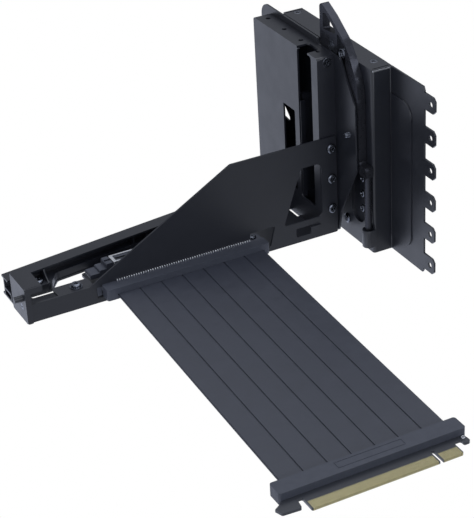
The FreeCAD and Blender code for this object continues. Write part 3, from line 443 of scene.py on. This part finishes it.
class Studio:
    """Camera, floor and light."""

    FLOOR_DROP = 900.0
    FLOOR_BEHIND = 5700.0
    FLOOR_HALF = 6000.0
    TINT = (0.9, 0.94, 1.03)
    WHITE = linear("ffffff")
    COOL_WHITE = (1.05, 1.12, 1.34, 1.0)
    PAPER = linear("cbcbce")

    def __init__(self, view: View) -> None:
        """Take the view that the camera is to have."""
        self.view = view

    def camera(self) -> None:
        """Stand the camera where the photograph was taken."""
        view = self.view
        azimuth, elevation, roll = (math.radians(a) for a in (view.azimuth, view.elevation, view.roll))
        back = Vector((math.sin(azimuth) * math.cos(elevation), -math.cos(azimuth) * math.cos(elevation),
                       math.sin(elevation)))
        right = (-back).cross(Vector((0, 0, 1))).normalized()
        up = right.cross(-back)
        turned_right = right * math.cos(roll) + up * math.sin(roll)
        turned_up = up * math.cos(roll) - right * math.sin(roll)
        data = bpy.data.cameras.new("camera")
        long_side = max(view.frame_px)
        data.sensor_width = view.sensor
        data.lens = view.focal_px * view.sensor / long_side
        data.shift_x = (view.frame_px[0] / 2 - view.centre_px[0]) / long_side
        data.shift_y = (view.centre_px[1] - view.frame_px[1] / 2) / long_side
        data.clip_end = view.far_clip * MM
        eye = bpy.data.objects.new("camera", data)
        matrix = Matrix((turned_right, turned_up, back)).transposed().to_4x4()
        matrix.translation = Vector(view.place) * MM
        eye.matrix_world = matrix
        bpy.context.scene.collection.objects.link(eye)
        bpy.context.scene.camera = eye

    def floor(self, low: float) -> None:
        """Lay a wide pale floor well under the held part and behind it.

        Args:
            low: Height of the part's lowest point, in metres.
        """
        mesh = bpy.data.meshes.new("floor")
        form = bmesh.new()
        bmesh.ops.create_grid(form, x_segments=1, y_segments=1, size=self.FLOOR_HALF * MM)
        form.to_mesh(mesh)
        form.free()
        floor = bpy.data.objects.new("floor", mesh)
        floor.location = (0.0, self.FLOOR_BEHIND * MM, low - self.FLOOR_DROP * MM)
        bpy.context.scene.collection.objects.link(floor)
        mesh.materials.append(self.paper())
        floor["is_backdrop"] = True

    def paper(self) -> bpy.types.Material:
        """Make the floor's pale paper, which shows white to the camera and a cool white in reflections.

        Returns:
            The material.
        """
        material = bpy.data.materials.new("floor_pale_matt_paper")
        material.use_nodes = True
        tree = material.node_tree
        tree.nodes.clear()
        ray = add_node(tree, "LightPath").outputs
        straight = add_node(tree, "Math", {"operation": "MAXIMUM"},
                            {0: ray["Is Camera Ray"], 1: ray["Is Transmission Ray"]})
        shown = add_node(tree, "Math", {"operation": "MAXIMUM"}, {0: straight.outputs[0], 1: ray["Is Glossy Ray"]})
        matt = add_node(tree, "BsdfDiffuse", {"Color": self.PAPER})
        tone = add_node(tree, "Mix", {"data_type": "RGBA"}, {0: ray["Is Glossy Ray"]})
        for number, colour in zip(MIX_COLOURS, (self.WHITE, self.COOL_WHITE)):
            tone.inputs[number].default_value = colour
        seen = add_node(tree, "Emission", {"Strength": 1.0}, {"Color": tone.outputs[MIX_RESULT]})
        mix = add_node(tree, "MixShader", None, {0: shown.outputs[0], 1: matt.outputs[0], 2: seen.outputs[0]})
        add_node(tree, "OutputMaterial", None, {"Surface": mix.outputs[0]})
        return material

    def world(self) -> None:
        """Make the world: soft lobes of light from all round, and white behind the part."""
        world = bpy.data.worlds.new("studio")
        bpy.context.scene.world = world
        world.use_nodes = True
        tree = world.node_tree
        tree.nodes.clear()
        ahead = add_node(tree, "TexCoord").outputs["Generated"]
        total = None
        for glow in GLOWS:
            share = self.lobe(tree, ahead, glow)
            if total is not None:
                share = add_node(tree, "Math", {"operation": "ADD"}, {0: total, 1: share}).outputs[0]
            total = share
        fill = add_node(tree, "Background", {"Color": (*self.TINT, 1.0)}, {"Strength": total})
        seen = add_node(tree, "Background", {"Color": self.WHITE, "Strength": 1.0})
        ray = add_node(tree, "LightPath")
        mix = add_node(tree, "MixShader", None,
                       {0: ray.outputs["Is Camera Ray"], 1: fill.outputs[0], 2: seen.outputs[0]})
        add_node(tree, "OutputWorld", None, {"Surface": mix.outputs[0]})

    def lobe(self, tree: bpy.types.NodeTree, ahead: bpy.types.NodeSocket, glow: Glow) -> bpy.types.NodeSocket:
        """Work out one lobe: the cosine to its middle, raised to its tightness, times its strength.

        Args:
            tree: The world's tree.
            ahead: The direction that is looked along.
            glow: The lobe.

        Returns:
            The socket that carries its strength.
        """
        facing = add_node(tree, "VectorMath", {"operation": "DOT_PRODUCT"}, {0: ahead})
        facing.inputs[1].default_value = Vector(glow.towards).normalized()
        share = facing.outputs["Value"]
        for operation, value in (("MAXIMUM", 0.0), ("POWER", glow.tightness), ("MULTIPLY", glow.strength)):
            step = add_node(tree, "Math", {"operation": operation}, {0: share})
            step.inputs[1].default_value = value
            share = step.outputs[0]
        return share

    def panels(self) -> None:
        """Hang the soft panels."""
        for panel in PANELS:
            data = bpy.data.lights.new(panel.name, "AREA")
            data.shape = "SQUARE"
            data.size = panel.side * MM
            data.energy = panel.watts
            data.color = self.TINT
            lamp = bpy.data.objects.new(panel.name, data)
            lamp.location = Vector(panel.place) * MM
            towards = Vector(panel.aim) - Vector(panel.place)
            lamp.rotation_euler = towards.to_track_quat("-Z", "Y").to_euler()
            bpy.context.scene.collection.objects.link(lamp)

    def build(self, low: float) -> None:
        """Set up the whole studio.

        Args:
            low: Height of the part's lowest point, in metres.
        """
        bpy.context.scene.view_settings.view_transform = "Standard"
        self.camera()
        self.floor(low)
        self.world()
        self.panels()
        LOG.info("studio with %d panels and %d lobes", len(PANELS), len(GLOWS))


class Form:
    """A mesh under construction, with its lengths in millimetres."""

    DRUM_SIDES = 40
    RING_SIDES = 28
    WIRE_SIDES = 8
    BEVEL_STEPS = 2

    def __init__(self, name: str) -> None:
        """Start an empty mesh under the piece's name."""
        self.name = name
        self.mesh = bmesh.new()

    def block(self, low: Sequence[float], high: Sequence[float]) -> None:
        """Add a box.

        Args:
            low: Its lowest corner.
            high: Its highest corner.
        """
        low, high = Vector(low) * MM, Vector(high) * MM
        place = Matrix.Translation((low + high) / 2) @ Matrix.Diagonal((*(high - low), 1.0))
        bmesh.ops.create_cube(self.mesh, size=1.0, matrix=place)

    def drum(self, spot: Sequence[float], facing: Facing, radius: float, length: float) -> None:
        """Add a drum that starts at a spot and runs the way it faces.

        Args:
            spot: Middle of its foot.
            facing: The way it runs.
            radius: Its radius.
            length: Its length.
        """
        turn = facing.turn
        middle = (Vector(spot) + turn @ Vector((0, 0, length / 2))) * MM
        bmesh.ops.create_cone(self.mesh, cap_ends=True, segments=self.DRUM_SIDES, radius1=radius * MM,
                              radius2=radius * MM, depth=length * MM, matrix=Matrix.Translation(middle) @ turn)

    def ring(self, spot: Sequence[float], facing: Facing, radius: float, wire: float) -> None:
        """Add a ring of round wire.

        Args:
            spot: Its middle.
            facing: The way its flat side faces.
            radius: Radius of its core line.
            wire: Radius of its round section.
        """
        turn, rows = facing.turn, []
        for step in range(self.RING_SIDES):
            angle = math.tau * step / self.RING_SIDES
            out = Vector((math.cos(angle), math.sin(angle), 0))
            row = []
            for part in range(self.WIRE_SIDES):
                lean = math.tau * part / self.WIRE_SIDES
                point = out * (radius + wire * math.cos(lean)) + Vector((0, 0, wire * math.sin(lean)))
                row.append(self.mesh.verts.new((Vector(spot) + turn @ point) * MM))
            rows.append(row)
        for step, row in enumerate(rows):
            self.bridge(row, rows[(step + 1) % len(rows)])

    def bridge(self, first: Sequence[bmesh.types.BMVert], second: Sequence[bmesh.types.BMVert]) -> None:
        """Join two closed loops of points with faces.

        Args:
            first: The first loop.
            second: The second loop, with as many points.
        """
        for index in range(len(first)):
            ahead = (index + 1) % len(first)
            self.mesh.faces.new((first[index], first[ahead], second[ahead], second[index]))

    def loop(self, spot: Sequence[float], turn: Matrix, outline: Iterable[Sequence[float]],
             height: float) -> list[bmesh.types.BMVert]:
        """Add a closed loop of points at a height over a spot.

        Args:
            spot: The spot that it stands over.
            turn: The turn of the piece.
            outline: The loop's points across the piece.
            height: Its height along the piece's own Z.

        Returns:
            The points.
        """
        return [self.mesh.verts.new((Vector(spot) + turn @ Vector((x, y, height))) * MM) for x, y in outline]

    def sweep(self, loops: Sequence[Sequence[Sequence[float]]]) -> None:
        """Add a closed body through a row of loops.

        Args:
            loops: Loops with as many points each, in order along the body.
        """
        rows = [[self.mesh.verts.new(Vector(point) * MM) for point in loop] for loop in loops]
        for first, second in zip(rows, rows[1:]):
            self.bridge(first, second)
        self.mesh.faces.new(rows[0][::-1])
        self.mesh.faces.new(rows[-1])

    def finish(self, material: bpy.types.Material, body: Body, bevel: float = 0.0,
               smooth: bool = False) -> bpy.types.Object:
        """Turn the mesh into an object that rides on a body.

        Args:
            material: Its finish.
            body: The group that carries it.
            bevel: Width of its broken edges.
            smooth: Whether it is shaded smooth.

        Returns:
            The object.
        """
        bmesh.ops.recalc_face_normals(self.mesh, faces=self.mesh.faces)
        for face in self.mesh.faces:
            face.smooth = smooth
        data = bpy.data.meshes.new(self.name)
        self.mesh.to_mesh(data)
        self.mesh.free()
        thing = bpy.data.objects.new(self.name, data)
        bpy.context.scene.collection.objects.link(thing)
        data.materials.append(material)
        if bevel:
            edge = thing.modifiers.new("edge_break", "BEVEL")
            edge.width = bevel * MM
            edge.segments = self.BEVEL_STEPS
            edge.limit_method = "ANGLE"
            edge.harden_normals = True
        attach(thing, body.value)
        return thing


class SubAssembly(Protocol):
    """What each sub-assembly can do."""

    def build(self, painter: Painter) -> list[bpy.types.Object]:
        """Build its pieces, dress them with the painter's materials and give them."""


@dataclass(frozen=True)
class PackedParts:
    """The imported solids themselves, with their finishes and broken edges."""

    frame: dict[str, Any]
    edge: float = 0.25
    edge_steps: int = 2
    round_steps: int = 3
    sharp_degrees: float = 35.0
    weld: float = 0.002

    ROUNDED: ClassVar[dict[str, float]] = {
        "lever": 1.4, "slot_latch": 0.4, "end_housing": 0.5, "riser_housing": 0.5,
    }
    REPLACED: ClassVar[str] = "ribbon_strip"
    OXIDISED: ClassVar[tuple[str, ...]] = ("lever_spring", "guide_rivet")

    def build(self, painter: Painter) -> list[bpy.types.Object]:
        """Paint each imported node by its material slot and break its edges.

        Args:
            painter: The maker of the materials.

        Returns:
            The nodes' objects.
        """
        pieces = []
        for entry in self.frame["record"]["subparts"]:
            piece = self.frame["nodes"][entry["node"]]
            surface = Surface.SCREW if entry["node"] in self.OXIDISED else Surface(entry["material_slot"])
            piece.data.materials.clear()
            piece.data.materials.append(painter.material(surface))
            if not entry["node"].startswith(self.REPLACED):
                self.break_edges(entry["node"], piece)
            pieces.append(piece)
        return pieces

    def break_edges(self, name: str, piece: bpy.types.Object) -> None:
        """Break the sharp edges of a solid as coating, tumbling or the mould does.

        Args:
            name: The node's name.
            piece: Its object.
        """
        weld = piece.modifiers.new("weld", "WELD")
        weld.merge_threshold = self.weld * MM
        bevel = piece.modifiers.new("edge_break", "BEVEL")
        bevel.width = self.ROUNDED.get(name, self.edge) * MM
        bevel.segments = self.round_steps if name in self.ROUNDED else self.edge_steps
        bevel.limit_method = "ANGLE"
        bevel.angle_limit = math.radians(self.sharp_degrees)
        bevel.harden_normals = True
        bevel.use_clamp_overlap = True


@dataclass(frozen=True)
class Cable:
    """The flat cable between the two housings: strips joined at their feet and rounded on top."""

    count: int = 7
    pitch: float = 13.52
    gap: float = 0.004
    groove: float = 0.34
    left: float = -170.7
    start: float = 63.2
    end: float = -144.3
    skew: float = -6.4
    top: float = -48.0
    thickness: float = 1.0
    foot: float = 0.55
    rounding: float = 0.3
    rounding_degrees: tuple[int, ...] = (0, 22, 45, 68, 90)
    sag: float = 0.25
    sag_parts: tuple[float, float] = (0.3, 0.7)

    @property
    def half(self) -> float:
        """Give half the width of one strip."""
        return (self.pitch - self.gap) / 2

    def section(self) -> list[tuple[float, float]]:
        """Give the closed section of a strip, down from its top.

        Returns:
            Its points: across and up.
        """
        shoulder = self.half - self.groove
        waist = self.thickness * self.foot
        side = [(shoulder - self.rounding * (1 - math.sin(angle)), -self.rounding * (1 - math.cos(angle)))
                for angle in map(math.radians, self.rounding_degrees)]
        side += [(shoulder, -waist), (self.half, -waist), (self.half, -self.thickness)]
        return side + [(-x, z) for x, z in reversed(side)]

    def path(self, index: int) -> list[Vector]:
        """Give the core line of one strip, which sags a little between its housings.

        Args:
            index: The strip, counted from the left.

        Returns:
            Points along it, in metres.
        """
        middle = self.left + self.pitch * (index + 0.5)
        run = self.end - self.start
        height = self.top - self.thickness / 2
        drops = [(0.0, 0.0), *((part, self.sag) for part in self.sag_parts), (1.0, 0.0)]
        return smooth_line([(middle + self.skew * part, self.start + run * part, height - drop)
                            for part, drop in drops])

    def build(self, painter: Painter) -> list[bpy.types.Object]:
        """Lay the strips in place of the plain bars.

        Args:
            painter: The maker of the materials.

        Returns:
            The strips.
        """
        strips = []
        for index in range(self.count):
            path = self.path(index)
            form = Form(f"cable_strip_{index + 1}")
            form.sweep([[(point.x / MM + x, point.y / MM, point.z / MM + self.thickness / 2 + z)
                         for x, z in self.section()] for point in path])
            strip = form.finish(painter.material(Surface.RIBBON), Body.CARD)
            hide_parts(f"ribbon_strip_{index + 1}")
            strips.append(strip)
        return strips


@dataclass(frozen=True)
class ScrewSet:
    """Like screws with cross recesses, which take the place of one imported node; with no rise they are flush."""

    node: str
    body: Body
    facing: Facing
    radius: float
    rise: float
    spots: tuple[Spot, ...]
    washer: float = 0.0
    washer_height: float = 0.5
    shank: float = 1.35
    length: float = 2.4
    edge: float = 0.06

    SIDES: ClassVar[int] = 32
    # A domed head's rings, as shares of its radius and rise, and a flush head's, as insets and heights.
    DOME: ClassVar[tuple[tuple[float, float], ...]] = ((1.0, 0.0), (1.0, 0.55), (0.94, 0.78), (0.8, 0.94), (0.66, 1.0))
    FLUSH: ClassVar[tuple[tuple[float, float], ...]] = ((0.0, -0.5), (0.0, -0.1), (0.12, 0.0))
    # The recess, as shares of the head's radius; its floor is narrower than its mouth.
    CROSS_WIDTH: ClassVar[float] = 0.13
    CROSS_REACH: ClassVar[float] = 0.56
    CROSS_DEPTH: ClassVar[float] = 0.42
    CROSS_TAPER: ClassVar[float] = 0.6
    CROSS_DEGREES: ClassVar[float] = 20.0

    def profile(self) -> list[tuple[float, float]]:
        """Give the rings of a head, from its seat to the rim of its flat top.

        Returns:
            The radius and height of each ring.
        """
        if self.rise:
            return [(self.radius * wide, self.rise * high) for wide, high in self.DOME]
        return [(self.radius - inset, height) for inset, height in self.FLUSH]

    def cross(self) -> list[tuple[float, float]]:
        """Give the outline of the recess's mouth.

        Returns:
            Its points across the head.
        """
        wide, reach = self.radius * self.CROSS_WIDTH, self.radius * self.CROSS_REACH
        arms = [(wide, wide), (wide, reach), (-wide, reach), (-wide, wide), (-reach, wide), (-reach, -wide),
                (-wide, -wide), (-wide, -reach), (wide, -reach), (wide, -wide), (reach, -wide), (reach, wide)]
        lean = math.radians(self.CROSS_DEGREES)
        return [(x * math.cos(lean) - y * math.sin(lean), x * math.sin(lean) + y * math.cos(lean)) for x, y in arms]

    def add_screw(self, form: Form, seat: Vector) -> None:
        """Add one screw.

        Args:
            form: The mesh that takes it.
            seat: Middle of the seat of its head.
        """
        turn, profile, cross = self.facing.turn, self.profile(), self.cross()
        angles = [math.tau * step / self.SIDES for step in range(self.SIDES)]
        rings = [form.loop(seat, turn, [(math.cos(a) * radius, math.sin(a) * radius) for a in angles], height)
                 for radius, height in [(self.shank, -self.length), (self.shank, profile[0][1]), *profile]]
        for first, second in zip(rings, rings[1:]):
            form.bridge(first, second)
        form.mesh.faces.new(rings[0][::-1])
        top = profile[-1][1]
        mouth = form.loop(seat, turn, cross, top)
        floor = form.loop(seat, turn, [(x * self.CROSS_TAPER, y * self.CROSS_TAPER) for x, y in cross],
                          top - self.radius * self.CROSS_DEPTH)
        form.bridge(mouth, floor)
        form.mesh.faces.new(floor)
        edges = [form.mesh.edges.get((ring[i], ring[i - 1])) for ring in (rings[-1], mouth) for i in range(len(ring))]
        bmesh.ops.triangle_fill(form.mesh, use_beauty=True, edges=edges)

    def build(self, painter: Painter) -> list[bpy.types.Object]:
        """Drive the screws, on washers where they have them.

        Args:
            painter: The maker of the materials.

        Returns:
            The set, as one piece.
        """
        form = Form(f"{self.node}_cross")
        for spot in self.spots:
            seat = Vector(spot)
            if self.washer:
                form.drum(seat, self.facing, self.washer, self.washer_height)
                seat += self.facing.way * self.washer_height
            self.add_screw(form, seat)
        piece = form.finish(painter.material(Surface.SCREW), self.body, bevel=self.edge)
        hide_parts(self.node)
        return [piece]


SCREWS = (
    ScrewSet("arm_screws", Body.CARD, Facing.FRONT, radius=3.0, rise=1.9,
             spots=((-24.8, 71.6, 1.4), (-24.8, 71.6, -18.45), (-24.8, 71.6, -38.3))),
    ScrewSet("post_screw", Body.CARD, Facing.FRONT, radius=2.9, rise=0.0, spots=((-24.8, 72.8, 55.4),)),
    ScrewSet("row_screws", Body.CASE, Facing.LEFT, radius=2.2, rise=1.14,
             spots=((-11.7, 56.9, -35.7), (-11.7, 56.9, -25.8), (-11.7, 56.9, -15.9))),
    ScrewSet("tray_screw", Body.CARD, Facing.UP, radius=3.0, rise=1.9, spots=((-190.2, 77.0, -43.8),), washer=3.9),
    ScrewSet("ledge_screw", Body.CARD, Facing.UP, radius=3.0, rise=1.9, spots=((-203.6, 102.8, -49.5),)),
    ScrewSet("riser_screw", Body.CARD, Facing.UP, radius=2.2, rise=1.52, spots=((-76.6, 77.2, -46.25),)),
    ScrewSet("end_screw", Body.CARD, Facing.LEFT, radius=2.1, rise=0.0, spots=((-223.2, 77.8, -46.8),)),
    ScrewSet("cover_screws_top", Body.CASE, Facing.UP, radius=2.55, rise=0.0,
             spots=((-5.7, 53.0, 59.0), (-5.7, 142.2, 59.0))),
    ScrewSet("cover_screws_low", Body.CASE, Facing.DOWN, radius=2.55, rise=0.0,
             spots=((-5.7, 53.0, -59.0), (-5.7, 142.2, -59.0))),
)


@dataclass(frozen=True)
class GuideStud:
    """The thread ridges round the guide stud of the slide plate."""

    ridges: int = 4
    first: Spot = (-20.5, 57.1, 15.1)
    pitch: float = 0.6
    radius: float = 1.66
    wire: float = 0.2

    def build(self, painter: Painter) -> list[bpy.types.Object]:
        """Set the ridges, outwards from the first.

        Args:
            painter: The maker of the materials.

        Returns:
            The ridges, as one piece.
        """
        form = Form("stud_thread")
        x, y, z = self.first
        for step in range(self.ridges):
            form.ring((x - step * self.pitch, y, z), Facing.RIGHT, self.radius, self.wire)
        piece = form.finish(painter.material(Surface.SCREW), Body.CARD, smooth=True)
        return [piece]


@dataclass(frozen=True)
class BoxEdges:
    """Fine forms along the box's near edge: the corner fill of its two flanges, and a bright strip under its top edge
    that is partly the bare cut edge and partly a painted highlight.
    """

    corner: tuple[tuple[float, float], ...] = (
        (-12.9, 43.95), (-0.3, 43.95), (0.0, 44.3), (0.0, 48.9), (-12.9, 44.3),
    )
    flanges: tuple[tuple[float, float], ...] = ((57.85, 59.0), (-59.0, -57.85))
    corner_edge: float = 0.2
    # A bright steel strip under the wall's top: partly its bare cut edge, partly a painted highlight along that edge.
    edge_and_highlight_low: Spot = (-13.2, 41.6, 57.7)
    edge_and_highlight_high: Spot = (-0.5, 41.95, 58.65)
    edge_and_highlight_bevel: float = 0.05

    def build(self, painter: Painter) -> list[bpy.types.Object]:
        """Fill the corners and lay the bright strip, partly the bare edge and partly a painted highlight.

        Args:
            painter: The maker of the materials.

        Returns:
            The two pieces.
        """
        form = Form("flange_corners")
        for low, high in self.flanges:
            form.sweep([[(x, y, z) for x, y in self.corner] for z in (low, high)])
        corners = form.finish(painter.material(Surface.COATED), Body.CASE, bevel=self.corner_edge)
        # The bright steel strip on the wall's front face is partly the bare cut edge and partly a painted highlight
        # along it.
        form = Form("wall_bare_edge_and_highlight")
        form.block(self.edge_and_highlight_low, self.edge_and_highlight_high)
        edge = form.finish(painter.material(Surface.BRIGHT), Body.CASE, bevel=self.edge_and_highlight_bevel)
        return [corners, edge]


@dataclass(frozen=True)
class RiserEnd:
    """Fine forms round the riser housing: its end tab in the arm's notch and the solder pins behind it."""

    tab_low: Spot = (-179.8, 71.75, -51.2)
    tab_high: Spot = (-176.7, 73.4, -44.4)
    tab_edge: float = 0.3
    pin_left: float = -167.5
    pin_right: float = -81.7
    pin_pitch: float = 1.5
    pin_width: float = 0.75
    pin_near: float = 70.75
    pin_far: float = 71.6
    pin_top: float = -43.25
    pin_height: float = 1.4
    pin_edge: float = 0.22

    def build(self, painter: Painter) -> list[bpy.types.Object]:
        """Close the notch and set the row of pins.

        Args:
            painter: The maker of the materials.

        Returns:
            The two pieces.
        """
        form = Form("housing_end_tab")
        form.block(self.tab_low, self.tab_high)
        tab = form.finish(painter.material(Surface.PLASTIC), Body.CARD, bevel=self.tab_edge)
        form = Form("solder_pins")
        for index in range(int((self.pin_right - self.pin_left) / self.pin_pitch) + 1):
            left = self.pin_left + self.pin_pitch * index
            form.block((left, self.pin_near, self.pin_top - self.pin_height),
                       (left + self.pin_width, self.pin_far, self.pin_top))
        return [tab, form.finish(painter.material(Surface.SOLDER), Body.CARD, bevel=self.pin_edge)]


@dataclass(frozen=True)
class EndPlug:
    """Fine forms at the cable's end: the rim of the housing's panel, and the board's fingers and eye."""

    panel_left: float = -150.2
    panel_right: float = -112.0
    panel_near: float = -151.3
    panel_far: float = -146.3
    rim: float = 0.35
    rim_sunk: float = 0.1
    rim_rise: float = 0.25
    rim_edge: float = 0.05
    board_top: float = -48.05
    board: float = 1.6
    fingers: int = 84
    finger_pitch: float = 1.0
    finger_width: float = 0.6
    finger_right: float = -89.6
    finger_near: float = -167.5
    finger_far: float = -161.6
    plating: float = 0.04
    key: tuple[float, float] = (-102.6, -100.7)
    key_margin: float = 0.2
    eye: tuple[float, float] = (-82.1, -156.4)
    eye_radius: float = 0.9
    eye_wire: float = 0.2

    def panel_rim(self, painter: Painter) -> bpy.types.Object:
        """Set the low rim of the panel on the end housing.

        Args:
            painter: The maker of the materials.

        Returns:
            The rim.
        """
        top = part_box("end_housing")[1][2] / MM
        left, right, near, far, rim = self.panel_left, self.panel_right, self.panel_near, self.panel_far, self.rim
        form = Form("housing_panel_rim")
        for low, high in (((left, near), (right, near + rim)), ((left, far - rim), (right, far)),
                          ((left, near + rim), (left + rim, far - rim)),
                          ((right - rim, near + rim), (right, far - rim))):
            form.block((*low, top - self.rim_sunk), (*high, top + self.rim_rise))
        piece = form.finish(painter.material(Surface.PLASTIC), Body.CARD, bevel=self.rim_edge)
        return piece

    def edge_fingers(self, painter: Painter) -> bpy.types.Object:
        """Plate the fingers on both faces and the near edge of the board, with none at its key notch.

        Args:
            painter: The maker of the materials.

        Returns:
            The fingers, as one piece.
        """
        low, top, plating = self.board_top - self.board, self.board_top, self.plating
        form = Form("edge_fingers")
        for index in range(self.fingers):
            right = self.finger_right - self.finger_pitch * index
            left = right - self.finger_width
            if right > self.key[0] - self.key_margin and left < self.key[1] + self.key_margin:
                continue
            form.block((left, self.finger_near, top), (right, self.finger_far, top + plating))
            form.block((left, self.finger_near, low - plating), (right, self.finger_far, low))
            form.block((left, self.finger_near - plating, low), (right, self.finger_near, top))
        return form.finish(painter.material(Surface.GOLD), Body.CARD)

    def build(self, painter: Painter) -> list[bpy.types.Object]:
        """Dress the housing and its board.

        Args:
            painter: The maker of the materials.

        Returns:
            The three pieces.
        """
        form = Form("board_plated_eye")
        form.ring((*self.eye, self.board_top), Facing.UP, self.eye_radius, self.eye_wire)
        eye = form.finish(painter.material(Surface.SOLDER), Body.CARD, smooth=True)
        return [self.panel_rim(painter), self.edge_fingers(painter), eye]


@dataclass(frozen=True)
class SlotSprings:
    """The two rows of contact springs in the slot's groove."""

    count: int = 84
    pitch: float = 1.0
    left: float = -160.0
    centre: float = 90.7
    offset: float = 0.75
    half_width: float = 0.18
    length: float = 0.45
    top: float = -42.4
    depth: float = 4.0

    def build(self, painter: Painter) -> list[bpy.types.Object]:
        """Stand the springs on both sides of the groove.

        Args:
            painter: The maker of the materials.

        Returns:
            The springs, as one piece.
        """
        form = Form("slot_contacts")
        for index in range(self.count):
            left = self.left + self.pitch * index
            for across in (self.centre - self.offset, self.centre + self.offset):
                form.block((left, across - self.half_width, self.top - self.depth),
                           (left + self.length, across + self.half_width, self.top))
        return [form.finish(painter.material(Surface.GOLD), Body.CARD)]


def main() -> None:
    """Build the studio and each sub-assembly in order, and report each piece."""
    logging.basicConfig(level=logging.INFO)
    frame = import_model()
    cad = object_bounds()
    Studio(View()).build(cad[0].z)
    painter = Painter()
    parts: tuple[SubAssembly, ...] = (
        PackedParts(frame), Cable(), *SCREWS, GuideStud(), BoxEdges(), RiserEnd(), EndPlug(), SlotSprings(),
    )
    for part in parts:
        for piece in part.build(painter):
            LOG.info("%s: %d faces, %s", piece.name, len(piece.data.polygons), piece.data.materials[0].name)


if __name__ == "__main__":
    main()
